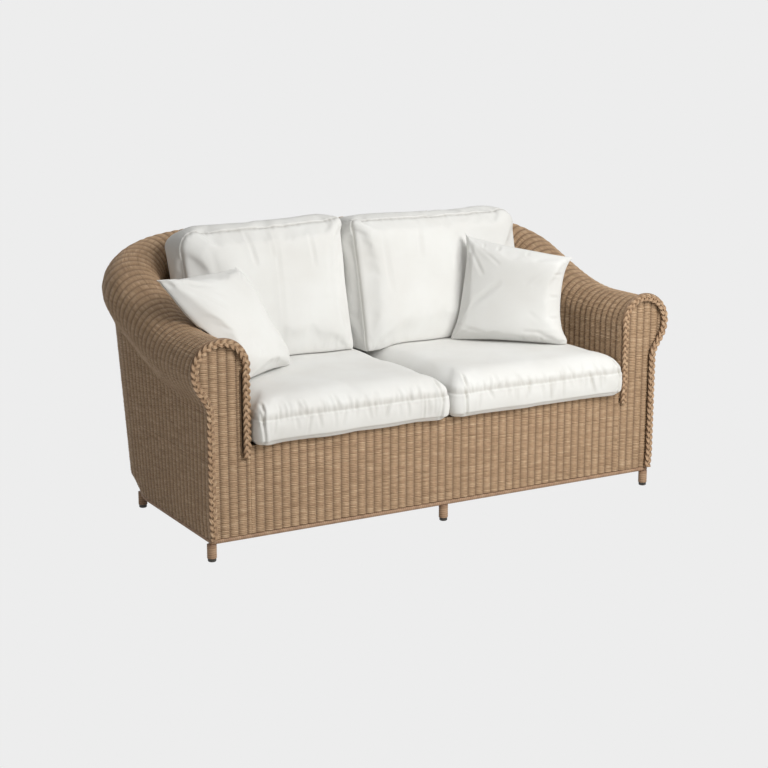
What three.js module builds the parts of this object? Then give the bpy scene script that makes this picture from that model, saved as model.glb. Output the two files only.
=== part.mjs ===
import * as THREE from "three";

// Rattan garden sofa with two seats: a woven shell with rolled arms and a rolled back on a tube frame, plaited
// trim round the arm fronts, two seat cushions, two back cushions and two throw pillows.
// Lengths are in millimetres. The sofa faces -Y, +X is to the right of someone who looks at its front and +Z is
// up. Inside the model y = 0 is the front edge of the woven skin. The finished group is moved along Y so that
// its origin lies on the floor under the middle of the sofa.

// Fits
const touching_gap = 0.3;
const resting_gap = 0.5;
const bar_clearance = 0.8;

// The line that the centre of the roll follows, seen from above: arm, corner, back, corner, arm
const roll_half_width = 725;
const roll_straight = 593.6;
const roll_corner_radius = 185.1;

// The roll is thicker on the back than on the arms
const arm_roll_radius = 85;
const back_roll_radius = 93.5;
const widening_start_distance = 200;
const widening_end_distance = 900;

// Height of the roll's top, which sweeps up from the arms to the back
const arm_height = 618;
const back_height = 825.4;
const rise_start_distance = 169;
const rise_end_distance = 1026;
const rise_start_pull_length = 269;
const rise_end_pull_length = 386;

// Outer wall: a skirt that tucks in to the base rail, a knee, then a straight rake up to the neck of the roll
const wall_side_offset = 42;
const wall_back_offset = 13.7;
const wall_corner_radius = 220;
const wall_knee_height = 110;
const arm_neck_offset = 42;
const back_neck_offset = 59.8;
const arm_neck_drop_height = 107;
const neck_pull_length = 30;
const roll_pull_length = 35;
const roll_start_angle = THREE.MathUtils.degToRad(-15);

// Woven skin, its flat front panels and the plaited trim
const skin_thickness = 4;
const skin_rail_overhang = 6;
const panel_thickness = 5;
const panel_recess = 2;
const trim_width = 32;
const trim_thickness = 14;
const trim_overhang = 10;
const trim_bottom_height = 52;
const trim_inner_bottom_height = 288;

// Base: feet, glides and the wrapped rail round the bottom
const rail_underside_height = 50;
const base_rail_radius = 7;
const base_rail_inset = 10;
const base_rail_corner_radius = 283.6;
const foot_radius = 14;
const foot_setback = 15;
const back_foot_corner_share = 0.275;
const glide_radius = 12;
const glide_height = 10;
const glide_chamfer = 2;

// Inner frame of aluminium tube
const hoop_radius = 7;
const seat_rail_radius = 11;
const seat_rail_inset = 83;
const top_rail_radius = 8;
const slat_radius = 9;
const slat_spacing = 240;
const slat_count = 4;
const hoop_place_shares = { arm: 0.5, corner: 1.5, back_side: 2.2, back_centre: 2.5 };

// Seat deck
const deck_top_height = 318;
const deck_thickness = 6;

// Cushions
const cushion_parting_gap = 2;
const seat_side_clearance = 3;
const seat_rear_clearance = 8;
const seat_overhang_length = 43;
const seat_border_height = 45;
const seat_crown_height = 80;
const seat_front_corner_radius = 32;
const seat_rear_corner_radius = 105;
const seat_inner_corner_radius = 28;
const back_cushion_left_clearance = 16;
const back_cushion_right_clearance = 46;
const back_cushion_parting_offset = -45;
const back_cushion_wall_gap = 26;
const back_cushion_height = 403;
const back_cushion_border_depth = 138;
const back_cushion_crown_depth = 34;
const back_cushion_rear_crown_depth = 34;
const back_cushion_lean_share = 0.25;
const back_cushion_top_corner_radius = 60;
const back_cushion_bottom_corner_radius = 34;
const back_cushion_parting_corner_radius = 26;
const cushion_bulge_depth = 5;
const cushion_draw_in_depth = 5;
const seam_roundover_radius = 12;
const pillow_height = 330;
const pillow_front_thickness = 62;
const pillow_rear_thickness = 27;
const pillow_draw_in_share = 0.07;
const pillow_foot_draw_in_share = 0.005;

// Counts of the faceted surfaces
const corner_steps = 6;
const arm_steps = 8;
const back_steps = 10;
const roll_steps = 13;
const trim_turn_steps = 6;
const neck_steps = 4;
const bar_sides = 6;
const rail_sides = 8;
const round_sides = 16;
const rise_halvings = 40;
const cushion_corner_steps = 4;
const cushion_side_steps = 4;
const pillow_steps = 12;

// Shares of a cushion's half width and of its crown, from the seam to the middle
const crown_ring_shares = [0.985, 0.95, 0.88, 0.76, 0.55, 0.28];
const crown_power = 6;
const underside_ring_share = 0.95;
const low_seam_share = 0.982;

// Finishes, as seen on the outside of the sofa
const finishes = {
  weave: { color: 0xa88e70, roughness: 0.62, metalness: 0 },
  inner_weave: { color: 0x8a7257, roughness: 0.66, metalness: 0 },
  plait: { color: 0xc6a888, roughness: 0.58, metalness: 0 },
  wrapped_pole: { color: 0xb3957a, roughness: 0.58, metalness: 0 },
  tube: { color: 0x7a6a5a, roughness: 0.45, metalness: 0.6 },
  glide: { color: 0x34322f, roughness: 0.5, metalness: 0 },
  cover: { color: 0xf0eee9, roughness: 0.9, metalness: 0 },
};

const sofa = new THREE.Group();

function addPiece(name, geometry, finish) {
  const mesh = new THREE.Mesh(geometry, new THREE.MeshStandardMaterial(finishes[finish]));
  mesh.name = name;
  sofa.add(mesh);
  return mesh;
}

// The volume inside a list of triangles, which is negative when they point inwards. Each triangle makes a
// tetrahedron with the origin, a sixth of the box on its three edges.
const triangle_corners = 3;
const tetrahedron_share = 1 / 6;

function signedVolume(geometry) {
  const position = geometry.getAttribute("position");
  const index = geometry.getIndex();
  const corners = index ? index.count : position.count;
  const corner = (at) => new THREE.Vector3().fromBufferAttribute(position, index ? index.getX(at) : at);
  let volume = 0;
  for (let at = 0; at < corners; at += triangle_corners) {
    const [first, second, third] = [at, at + 1, at + 2].map(corner);
    volume += first.dot(second.cross(third)) * tetrahedron_share;
  }
  return volume;
}

// The same surface with its faces pointing out
function facingOut(geometry) {
  if (signedVolume(geometry) > 0) {
    return geometry;
  }
  const flipped = geometry.index ? geometry.toNonIndexed() : geometry.clone();
  const position = flipped.getAttribute("position");
  for (let at = 0; at < position.count; at += triangle_corners) {
    const second = new THREE.Vector3().fromBufferAttribute(position, at + 1);
    const third = new THREE.Vector3().fromBufferAttribute(position, at + 2);
    position.setXYZ(at + 1, third.x, third.y, third.z);
    position.setXYZ(at + 2, second.x, second.y, second.z);
  }
  return flipped;
}

function solidFrom(points, triangles) {
  const geometry = new THREE.BufferGeometry().setFromPoints(points);
  geometry.setIndex(triangles.flat());
  return facingOut(geometry);
}

// A path straight from corner to corner, whose cross sections at the corners lie in the mitre planes. The
// sections at its two ends are square to the end directions.
class CorneredPath extends THREE.Curve {
  constructor(corners, end_directions) {
    super();
    this.corners = corners;
    this.end_directions = end_directions;
  }

  getPoint(share, target = new THREE.Vector3()) {
    const place = share * (this.corners.length - 1);
    const before = Math.min(Math.floor(place), this.corners.length - 2);
    return target.lerpVectors(this.corners[before], this.corners[before + 1], place - before);
  }

  getPointAt(share, target) {
    return this.getPoint(share, target);
  }

  getTangentAt(share, target = new THREE.Vector3()) {
    const last = this.corners.length - 1;
    const place = Math.round(share * last);
    if (place === 0 || place === last) {
      return target.copy(this.end_directions[place === 0 ? 0 : 1]);
    }
    const here = this.corners[place];
    const arriving = here.clone().sub(this.corners[place - 1]).normalize();
    const leaving = this.corners[place + 1].clone().sub(here).normalize();
    return target.addVectors(arriving, leaving).normalize();
  }
}

// A bar of oval section along straight stretches: the depth is across the plane of the path, the width in it
function ovalBar(corners, end_directions, half_depth, half_width, sides) {
  const section = new THREE.Shape().absellipse(0, 0, half_depth, half_width, 0, 2 * Math.PI);
  const path = new CorneredPath(corners, end_directions);
  const settings = { steps: corners.length - 1, extrudePath: path, curveSegments: sides / 2 };
  return facingOut(new THREE.ExtrudeGeometry(section, { ...settings, bevelEnabled: false }));
}

function roundBar(corners, end_directions, radius, sides) {
  return ovalBar(corners, end_directions, radius, radius, sides);
}

function straightBar(start, end, radius, sides) {
  const direction = end.clone().sub(start).normalize();
  return roundBar([start, end], [direction, direction], radius, sides);
}

function uprightBar(x, y, low, high, radius, sides) {
  return straightBar(new THREE.Vector3(x, y, low), new THREE.Vector3(x, y, high), radius, sides);
}

const upwards = new THREE.Vector3(0, 0, 1);
const downwards = upwards.clone().negate();
const up_and_down = [upwards, downwards];

// A line round the seat from the left arm's front to the right arm's front. Its places run from 0 to 5, one
// for each stretch: left arm, left corner, back, right corner and right arm.
function lineAround(half_width, straight, corner_radius) {
  const quarter = Math.PI / 2;
  const corner_x = half_width - corner_radius;
  const lengths = [straight, quarter * corner_radius, 2 * corner_x, quarter * corner_radius, straight];
  const turns = [[0, 0], [0, quarter], [quarter, quarter], [quarter, 2 * quarter], [2 * quarter, 2 * quarter]];

  function at(place) {
    const stretch = Math.min(Math.floor(place), lengths.length - 1);
    const share = place - stretch;
    const turn = THREE.MathUtils.lerp(turns[stretch][0], turns[stretch][1], share);
    const side_x = [-corner_x, -corner_x, THREE.MathUtils.lerp(-corner_x, corner_x, share), corner_x, corner_x];
    const side_y = [straight * share, straight, straight, straight, straight * (1 - share)];
    const out = new THREE.Vector2(-Math.cos(turn), Math.sin(turn));
    const along = new THREE.Vector2(Math.sin(turn), Math.cos(turn));
    const point = new THREE.Vector2(side_x[stretch], side_y[stretch]).addScaledVector(out, corner_radius);
    return { point, out, along };
  }

  function distanceAt(place) {
    const stretch = Math.min(Math.floor(place), lengths.length - 1);
    const passed = lengths.slice(0, stretch).reduce((sum, length) => sum + length, 0);
    return passed + lengths[stretch] * (place - stretch);
  }

  return { at, distanceAt, lengths, total: distanceAt(lengths.length) };
}

const wall_half_width = roll_half_width + wall_side_offset;
const wall_back = roll_straight + roll_corner_radius - wall_back_offset;
const wall_straight = wall_back - wall_corner_radius;
const base_rail_half_width = wall_half_width - base_rail_inset;
const base_rail_straight = wall_back - base_rail_inset - base_rail_corner_radius;
const seat_rail_half_width = roll_half_width - seat_rail_inset;
const seat_rail_corner_radius = roll_corner_radius - seat_rail_inset;

const roll_line = lineAround(roll_half_width, roll_straight, roll_corner_radius);
const wall_line = lineAround(wall_half_width, wall_straight, wall_corner_radius);
const base_rail_line = lineAround(base_rail_half_width, base_rail_straight, base_rail_corner_radius);
const seat_rail_line = lineAround(seat_rail_half_width, roll_straight, seat_rail_corner_radius);

const base_rail_height = rail_underside_height + base_rail_radius;
const base_rail_top = rail_underside_height + 2 * base_rail_radius;
const deck_bottom = deck_top_height - deck_thickness;
const seat_rail_top = deck_bottom - touching_gap;
const seat_rail_height = seat_rail_top - seat_rail_radius;
const panel_back = panel_recess + panel_thickness;

// The sweep of the roll's top is one cubic curve of height against distance from the nearer arm front
const rise_curve = new THREE.CubicBezierCurve(
  new THREE.Vector2(rise_start_distance, arm_height),
  new THREE.Vector2(rise_start_distance + rise_start_pull_length, arm_height),
  new THREE.Vector2(rise_end_distance - rise_end_pull_length, back_height),
  new THREE.Vector2(rise_end_distance, back_height),
);

function rollTop(distance) {
  const reached = THREE.MathUtils.clamp(distance, rise_start_distance, rise_end_distance);
  let low = 0;
  let high = 1;
  for (let halving = 0; halving < rise_halvings; halving += 1) {
    const middle = (low + high) / 2;
    if (rise_curve.getPoint(middle).x < reached) {
      low = middle;
    } else {
      high = middle;
    }
  }
  return rise_curve.getPoint(high).y;
}

function frontDistance(place) {
  const travelled = roll_line.distanceAt(place);
  return Math.min(travelled, roll_line.total - travelled);
}

// The size of the roll at a place on its line
function rollAt(place) {
  const distance = frontDistance(place);
  const widening = THREE.MathUtils.smoothstep(distance, widening_start_distance, widening_end_distance);
  const radius = THREE.MathUtils.lerp(arm_roll_radius, back_roll_radius, widening);
  const neck_offset = THREE.MathUtils.lerp(arm_neck_offset, back_neck_offset, widening);
  return { ...roll_line.at(place), radius, neck_offset, height: rollTop(distance) - radius };
}

// Cross section of the skin's outer face at a place, from the base rail up the outer wall, over the roll and
// down the inner wall to the deck. Each point has its distance out from the roll's line, its shift along it
// and its height.
function skinSection(place) {
  const roll = rollAt(place);
  const growth = roll.radius / arm_roll_radius;

  function onLine(line, outwards, height) {
    const other = line.at(place);
    const step = other.point.clone().addScaledVector(other.out, outwards).sub(roll.point);
    return { out: step.dot(roll.out), along: step.dot(roll.along), height };
  }

  const neck = new THREE.Vector2(roll.neck_offset, roll.height - arm_neck_drop_height * growth);
  const leaving = new THREE.Vector2(Math.cos(roll_start_angle), Math.sin(roll_start_angle));
  const start = leaving.clone().multiplyScalar(roll.radius).add(new THREE.Vector2(0, roll.height));
  const neck_handle = new THREE.Vector2(neck.x, neck.y + neck_pull_length * growth);
  const down_the_roll = new THREE.Vector2(leaving.y, -leaving.x);
  const roll_handle = start.clone().addScaledVector(down_the_roll, roll_pull_length);
  const s_curve = new THREE.CubicBezierCurve(neck, neck_handle, roll_handle, start);

  const section = [
    onLine(base_rail_line, skin_rail_overhang, base_rail_top + touching_gap),
    onLine(wall_line, 0, wall_knee_height),
  ];
  for (const point of s_curve.getPoints(neck_steps)) {
    section.push({ out: point.x, along: 0, height: point.y });
  }
  for (let step = 1; step <= roll_steps; step += 1) {
    const angle = THREE.MathUtils.lerp(roll_start_angle, Math.PI, step / roll_steps);
    const out = roll.radius * Math.cos(angle);
    section.push({ out, along: 0, height: roll.height + roll.radius * Math.sin(angle) });
  }
  section.push({ out: -roll.radius, along: 0, height: deck_bottom });
  return section;
}

// The section moved inwards by an inset, so that each straight stretch stays parallel. The two ends keep their
// heights.
function skinLine(place, inset) {
  const roll = rollAt(place);
  const section = skinSection(place);

  function edgeNormal(first) {
    const run = section[first + 1].out - section[first].out;
    const rise = section[first + 1].height - section[first].height;
    return new THREE.Vector2(rise, -run).normalize();
  }

  return section.map((point, at) => {
    const last = section.length - 1;
    const before = edgeNormal(Math.max(at - 1, 0));
    const after = edgeNormal(Math.min(at, last - 1));
    const mitre = before.clone().add(after).normalize();
    const reach = inset / mitre.dot(before);
    const at_end = at === 0 || at === last;
    const out = at_end ? point.out - inset / before.x : point.out - mitre.x * reach;
    const height = at_end ? point.height : point.height - mitre.y * reach;
    const place_xy = roll.point.clone().addScaledVector(roll.out, out).addScaledVector(roll.along, point.along);
    return new THREE.Vector3(place_xy.x, place_xy.y, height);
  });
}

// Places from one end of a stretch to the other, in equal steps
function placesBetween(first, last, steps) {
  return Array.from({ length: steps + 1 }, (_, step) => THREE.MathUtils.lerp(first, last, step / steps));
}

// A closed plate between an outer and an inner grid of points, with its four edges
function plateBetween(outer, inner) {
  const rows = outer.length;
  const columns = outer[0].length;
  const points = [...outer.flat(), ...inner.flat()];
  const outerAt = ([row, column]) => row * columns + column;
  const innerAt = ([row, column]) => rows * columns + row * columns + column;
  const triangles = [];

  function quad(a, b, c, d) {
    triangles.push([a, b, c], [a, c, d]);
  }

  for (let row = 0; row < rows - 1; row += 1) {
    for (let column = 0; column < columns - 1; column += 1) {
      const [first, last] = [[row, column], [row + 1, column + 1]];
      quad(...[first, [row + 1, column], last, [row, column + 1]].map(outerAt));
      quad(...[first, [row, column + 1], last, [row + 1, column]].map(innerAt));
    }
    const [low_start, low_end] = [[row, 0], [row + 1, 0]];
    const [high_start, high_end] = [[row, columns - 1], [row + 1, columns - 1]];
    quad(outerAt(low_start), innerAt(low_start), innerAt(low_end), outerAt(low_end));
    quad(outerAt(high_start), outerAt(high_end), innerAt(high_end), innerAt(high_start));
  }
  for (let column = 0; column < columns - 1; column += 1) {
    const [low_start, low_end] = [[0, column], [0, column + 1]];
    const [high_start, high_end] = [[rows - 1, column], [rows - 1, column + 1]];
    quad(outerAt(low_start), outerAt(low_end), innerAt(low_end), innerAt(low_start));
    quad(outerAt(high_start), innerAt(high_start), innerAt(high_end), outerAt(high_end));
  }
  return solidFrom(points, triangles);
}

// The five stretches of a part that runs round the seat, with half a touching gap off each meeting end
const stretch_names = ["left", "corner_left", "back", "corner_right", "right"];
const stretch_steps = [arm_steps, corner_steps, back_steps, corner_steps, arm_steps];

function stretchPlaces(line, stretch, front_setback) {
  const half_gap_share = touching_gap / 2 / line.lengths[stretch];
  const front_share = front_setback / line.lengths[stretch];
  const start = stretch === 0 ? front_share : half_gap_share;
  const end = stretch === stretch_names.length - 1 ? front_share : half_gap_share;
  return placesBetween(stretch + start, stretch + 1 - end, stretch_steps[stretch]);
}

// Woven skin of arms, corners and back
const skins = stretch_names.map((name, stretch) => {
  const places = stretchPlaces(roll_line, stretch, 0);
  const outer = places.map((place) => skinLine(place, 0));
  const inner = places.map((place) => skinLine(place, skin_thickness));
  return addPiece(`woven_skin_${name}`, plateBetween(outer, inner), "weave");
});

// A flat plate standing across the sofa, from an outline in X and Z
function standingPlate(outline, thickness) {
  const settings = { depth: thickness, bevelEnabled: false };
  return new THREE.ExtrudeGeometry(new THREE.Shape(outline), settings).rotateX(Math.PI / 2);
}

// Woven arm fronts, set back behind the trim, down to the base rail
const arm_inner_face = roll_half_width - arm_roll_radius;
const panel_foot = base_rail_top + touching_gap;

function armFrontOutline(side) {
  const rim = skinLine(0, skin_thickness + touching_gap).map((point) => new THREE.Vector2(point.x, point.z));
  const under_skin = deck_bottom - touching_gap;
  const inner_edge = rim[rim.length - 1].x;
  rim[rim.length - 1].y = under_skin;
  rim.push(new THREE.Vector2(-arm_inner_face, under_skin));
  rim.push(new THREE.Vector2(-arm_inner_face, panel_foot));
  const outline = inner_edge < -arm_inner_face ? rim : rim.slice(0, -2);
  return outline.map((point) => new THREE.Vector2(point.x * -side, point.y));
}

for (const [name, side] of [["left", -1], ["right", 1]]) {
  const panel = standingPlate(armFrontOutline(side), panel_thickness);
  addPiece(`arm_front_${name}`, panel, "weave").position.y = panel_back;
}

// Woven apron between the arm fronts
const apron_half_width = arm_inner_face - touching_gap;
const apron_outline = [
  new THREE.Vector2(-apron_half_width, panel_foot),
  new THREE.Vector2(apron_half_width, panel_foot),
  new THREE.Vector2(apron_half_width, deck_top_height),
  new THREE.Vector2(-apron_half_width, deck_top_height),
];
addPiece("front_apron", standingPlate(apron_outline, panel_thickness), "weave").position.y = panel_back;

// Plaited trim round each arm front, from the base up, over the roll and down the inner edge, where it comes
// to lie flush with the inner wall
const trim_y = -touching_gap - trim_thickness / 2;

for (const [name, side] of [["left", -1], ["right", 1]]) {
  const outer_route = skinLine(0, trim_width / 2 - trim_overhang);
  const inner_route = skinLine(0, trim_width / 2);
  const first_inner = outer_route.length - trim_turn_steps;
  const route = outer_route.map((point, at) => {
    const share = THREE.MathUtils.clamp((at - first_inner) / (trim_turn_steps - 2), 0, 1);
    const turned = point.clone().lerp(inner_route[at], share);
    return new THREE.Vector3(turned.x * -side, trim_y, turned.z);
  });
  route[0].z = trim_bottom_height;
  route[route.length - 1].z = trim_inner_bottom_height;
  const trim = ovalBar(route, up_and_down, trim_thickness / 2, trim_width / 2, rail_sides);
  addPiece(`plaited_trim_${name}`, trim, "plait");
}

// Base rail: a pole across the front, then one round the sides and the back
const front_rail_y = panel_recess + base_rail_radius;
const front_rail_end = base_rail_half_width + base_rail_radius;
const front_rail_ends = [-front_rail_end, front_rail_end].map(
  (x) => new THREE.Vector3(x, front_rail_y, base_rail_height),
);
addPiece("base_rail_front", straightBar(...front_rail_ends, base_rail_radius, rail_sides), "wrapped_pole");

// The level directions of a line at the first and the last of some places
function levelEnds(line, places) {
  return [places[0], places[places.length - 1]].map((place) => {
    const { along } = line.at(place);
    return new THREE.Vector3(along.x, along.y, 0);
  });
}

function railAlong(line, stretch, front_setback, height, radius, sides) {
  const bends = stretch_names[stretch].startsWith("corner");
  const places = stretchPlaces(line, stretch, front_setback);
  const used = bends ? places : [places[0], places[places.length - 1]];
  const route = used.map((place) => {
    const { point } = line.at(place);
    return new THREE.Vector3(point.x, point.y, height);
  });
  return roundBar(route, levelEnds(line, places), radius, sides);
}

const base_rail_setback = front_rail_y + base_rail_radius + touching_gap;
stretch_names.forEach((name, stretch) => {
  const setback = base_rail_setback;
  const rail = railAlong(base_rail_line, stretch, setback, base_rail_height, base_rail_radius, rail_sides);
  addPiece(`base_rail_${name}`, rail, "wrapped_pole");
});

// Feet under the base rail, each a short wrapped pole on a plastic glide
const back_foot = base_rail_line.at(1 + back_foot_corner_share).point;
const back_line = base_rail_straight + base_rail_corner_radius;
const foot_places = {
  front_left: [-base_rail_half_width, foot_setback],
  front_centre: [0, foot_setback],
  front_right: [base_rail_half_width, foot_setback],
  back_left: [back_foot.x, back_foot.y],
  back_centre: [0, back_line],
  back_right: [-back_foot.x, back_foot.y],
};

function glideProfile() {
  return [
    new THREE.Vector2(0, 0),
    new THREE.Vector2(glide_radius - glide_chamfer, 0),
    new THREE.Vector2(glide_radius, glide_chamfer),
    new THREE.Vector2(glide_radius, glide_height),
    new THREE.Vector2(0, glide_height),
  ];
}

for (const [name, [x, y]] of Object.entries(foot_places)) {
  const low = glide_height + touching_gap;
  const high = rail_underside_height - touching_gap;
  addPiece(`foot_${name}`, uprightBar(x, y, low, high, foot_radius, round_sides), "wrapped_pole");
  const glide = new THREE.LatheGeometry(glideProfile(), round_sides).rotateX(Math.PI / 2);
  addPiece(`glide_${name}`, facingOut(glide), "glide").position.set(x, y, 0);
}

// Seat frame: a front rail between the front hoops, and a bent rail that carries the inner walls and the deck
const hoop_inset = skin_thickness + bar_clearance + hoop_radius;
const seat_front_y = panel_back + touching_gap + seat_rail_radius;
const seat_front_end = wall_half_width - hoop_inset - hoop_radius - touching_gap;
const seat_front_ends = [-seat_front_end, seat_front_end].map(
  (x) => new THREE.Vector3(x, seat_front_y, seat_rail_height),
);
addPiece("seat_rail_front", straightBar(...seat_front_ends, seat_rail_radius, rail_sides), "tube");

const seat_rail_setback = seat_front_y + seat_rail_radius + touching_gap;
stretch_names.forEach((name, stretch) => {
  const setback = seat_rail_setback;
  const rail = railAlong(seat_rail_line, stretch, setback, seat_rail_height, seat_rail_radius, rail_sides);
  addPiece(`seat_rail_${name}`, rail, "tube");
});

// Slats from the front rail to the back rail
const seat_back_y = roll_straight + seat_rail_corner_radius;
const slat_height = seat_rail_top - slat_radius;
for (let slat = 0; slat < slat_count; slat += 1) {
  const x = (slat - (slat_count - 1) / 2) * slat_spacing;
  const slat_ends = [seat_rail_setback, seat_back_y - seat_rail_radius - touching_gap].map(
    (y) => new THREE.Vector3(x, y, slat_height),
  );
  addPiece(`seat_slat_${slat + 1}`, straightBar(...slat_ends, slat_radius, rail_sides), "tube");
}

// Post over the front centre foot
const hoop_front_y = panel_back + touching_gap + hoop_radius;
const post_low = base_rail_top + touching_gap;
const post_high = seat_rail_height - seat_rail_radius - touching_gap;
addPiece("front_post", uprightBar(0, hoop_front_y, post_low, post_high, hoop_radius, rail_sides), "tube");

// Hoops that shape the arms and the back, each standing on the base rail and on the seat rail
const front_hoop_place = hoop_front_y / roll_straight;
const last_place = stretch_names.length;
const hoops = {
  front_left: front_hoop_place,
  arm_left: hoop_place_shares.arm,
  corner_left: hoop_place_shares.corner,
  back_left: hoop_place_shares.back_side,
  back_centre: hoop_place_shares.back_centre,
  back_right: last_place - hoop_place_shares.back_side,
  corner_right: last_place - hoop_place_shares.corner,
  arm_right: last_place - hoop_place_shares.arm,
  front_right: last_place - front_hoop_place,
};
for (const [name, place] of Object.entries(hoops)) {
  const route = skinLine(place, hoop_inset);
  if (name.startsWith("front")) {
    route.forEach((point) => point.setY(hoop_front_y));
  }
  addPiece(`hoop_${name}`, roundBar(route, up_and_down, hoop_radius, bar_sides), "tube");
}

// Top rail inside the roll, under the tops of the hoops
const top_rail_depth = hoop_inset + hoop_radius + bar_clearance + top_rail_radius;
stretch_names.forEach((name, stretch) => {
  const places = stretchPlaces(roll_line, stretch, panel_back + touching_gap);
  const route = places.map((place) => {
    const roll = rollAt(place);
    return new THREE.Vector3(roll.point.x, roll.point.y, roll.height + roll.radius - top_rail_depth);
  });
  const ends = levelEnds(roll_line, places);
  addPiece(`top_rail_${name}`, roundBar(route, ends, top_rail_radius, bar_sides), "tube");
});

// Woven seat deck between the inner walls
const deck_outline = [];
stretch_names.forEach((name, stretch) => {
  for (const place of stretchPlaces(roll_line, stretch, panel_back + touching_gap)) {
    const roll = rollAt(place);
    deck_outline.push(roll.point.clone().addScaledVector(roll.out, -roll.radius - touching_gap));
  }
});
const deck = new THREE.ExtrudeGeometry(new THREE.Shape(deck_outline), {
  depth: deck_thickness,
  bevelEnabled: false,
});
addPiece("seat_deck", facingOut(deck), "inner_weave").position.z = deck_bottom;

// Outline of a boxed cushion: straight sides that draw in between rounded corners. The corners are given
// counter-clockwise from the high X, high Y one.
function cushionOutline(half_width, half_height, corner_radii) {
  const signs = [[1, 1], [-1, 1], [-1, -1], [1, -1]];
  const rounded = [];
  signs.forEach(([across, up], corner) => {
    const radius = corner_radii[corner];
    for (let step = 0; step <= cushion_corner_steps; step += 1) {
      const angle = (Math.PI / 2) * (corner + step / cushion_corner_steps);
      const x = across * (half_width - radius) + radius * Math.cos(angle);
      const y = up * (half_height - radius) + radius * Math.sin(angle);
      rounded.push(new THREE.Vector2(x, y));
    }
  });
  const outline = [];
  rounded.forEach((point, at) => {
    outline.push(point);
    if ((at + 1) % (cushion_corner_steps + 1) === 0) {
      const next = rounded[(at + 1) % rounded.length];
      for (let step = 1; step < cushion_side_steps; step += 1) {
        outline.push(point.clone().lerp(next, step / cushion_side_steps));
      }
    }
  });
  return outline.map((point) => {
    const across = point.x / half_width;
    const up = point.y / half_height;
    const draw_x = cushion_draw_in_depth * (1 - up * up) * across;
    const draw_y = cushion_draw_in_depth * (1 - across * across) * up;
    return new THREE.Vector2(point.x - draw_x, point.y - draw_y);
  });
}

// A closed form from rings of one outline, each with its share of the outline, its spread and its height,
// and a middle point at each end
function ringedForm(outline, rings, low, high) {
  const points = [];
  for (const ring of rings) {
    for (const point of outline) {
      const spread = 1 + ring.spread / point.length();
      points.push(new THREE.Vector3(point.x, point.y, 0).multiplyScalar(ring.share * spread));
      points[points.length - 1].z = ring.height;
    }
  }
  const around = outline.length;
  const triangles = [];
  for (let ring = 0; ring < rings.length - 1; ring += 1) {
    for (let at = 0; at < around; at += 1) {
      const next = (at + 1) % around;
      const lower = ring * around;
      const upper = lower + around;
      triangles.push([lower + at, lower + next, upper + next], [lower + at, upper + next, upper + at]);
    }
  }
  const low_middle = points.push(new THREE.Vector3(0, 0, low)) - 1;
  const high_middle = points.push(new THREE.Vector3(0, 0, high)) - 1;
  const top = (rings.length - 1) * around;
  for (let at = 0; at < around; at += 1) {
    const next = (at + 1) % around;
    triangles.push([low_middle, next, at], [high_middle, top + at, top + next]);
  }
  return solidFrom(points, triangles);
}

// Height of a crown over its seam at a share of the way from the middle to the seam
function crownHeight(crown, share) {
  return crown * Math.sqrt(1 - share ** crown_power);
}

// A boxed cushion lying on its underside: a border that bulges between two seams and a crown on top. The
// underside is flat, or has a crown of its own.
function boxedCushion(half_width, half_height, corner_radii, border, crown, rear_crown) {
  const seam_half_sizes = [half_width, half_height].map((half_size) => half_size - cushion_bulge_depth);
  const outline = cushionOutline(...seam_half_sizes, corner_radii);
  const seam_low = rear_crown > 0 ? rear_crown : seam_roundover_radius;
  const seam_high = seam_low + border;
  const rings = [];
  if (rear_crown > 0) {
    for (const share of [...crown_ring_shares].reverse()) {
      rings.push({ share, spread: 0, height: seam_low - crownHeight(rear_crown, share) });
    }
  } else {
    rings.push({ share: underside_ring_share, spread: 0, height: 0 });
  }
  rings.push({ share: rear_crown > 0 ? 1 : low_seam_share, spread: 0, height: seam_low });
  rings.push({ share: 1, spread: cushion_bulge_depth, height: (seam_low + seam_high) / 2 });
  rings.push({ share: 1, spread: 0, height: seam_high });
  for (const share of crown_ring_shares) {
    rings.push({ share, spread: 0, height: seam_high + crownHeight(crown, share) });
  }
  return ringedForm(outline, rings, 0, seam_high + crown);
}

// The least way straight up or down from one piece's corners to the faces of another
function leastWay(from, to, direction) {
  const caster = new THREE.Raycaster();
  const place = from.geometry.getAttribute("position");
  let least = Infinity;
  for (let at = 0; at < place.count; at += 1) {
    caster.set(new THREE.Vector3().fromBufferAttribute(place, at).applyMatrix4(from.matrixWorld), direction);
    const [hit] = caster.intersectObject(to);
    least = Math.min(least, hit ? hit.distance : Infinity);
  }
  return least;
}

// Lifts a loose piece clear of its supports and lowers it until it rests on one of them
function settle(piece, supports) {
  piece.position.z += back_height;
  piece.updateMatrixWorld();
  const ways = supports.map((support) => {
    support.updateMatrixWorld();
    return Math.min(leastWay(piece, support, downwards), leastWay(support, piece, upwards));
  });
  piece.position.z -= Math.min(...ways) - resting_gap;
}

// Seat cushions on the deck, overhanging the apron
const seat_half_width = (arm_inner_face - seat_side_clearance - cushion_parting_gap / 2) / 2;
const seat_middle_x = seat_half_width + cushion_parting_gap / 2;
const inner_back_face = roll_straight + roll_corner_radius - back_roll_radius;
const seat_front = panel_recess - seat_overhang_length;
const seat_rear = inner_back_face - seat_rear_clearance;
const seat_half_depth = (seat_rear - seat_front) / 2;
const seat_base = deck_top_height + touching_gap;
const seat_top = seat_base + seam_roundover_radius + seat_border_height + seat_crown_height;

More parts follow.
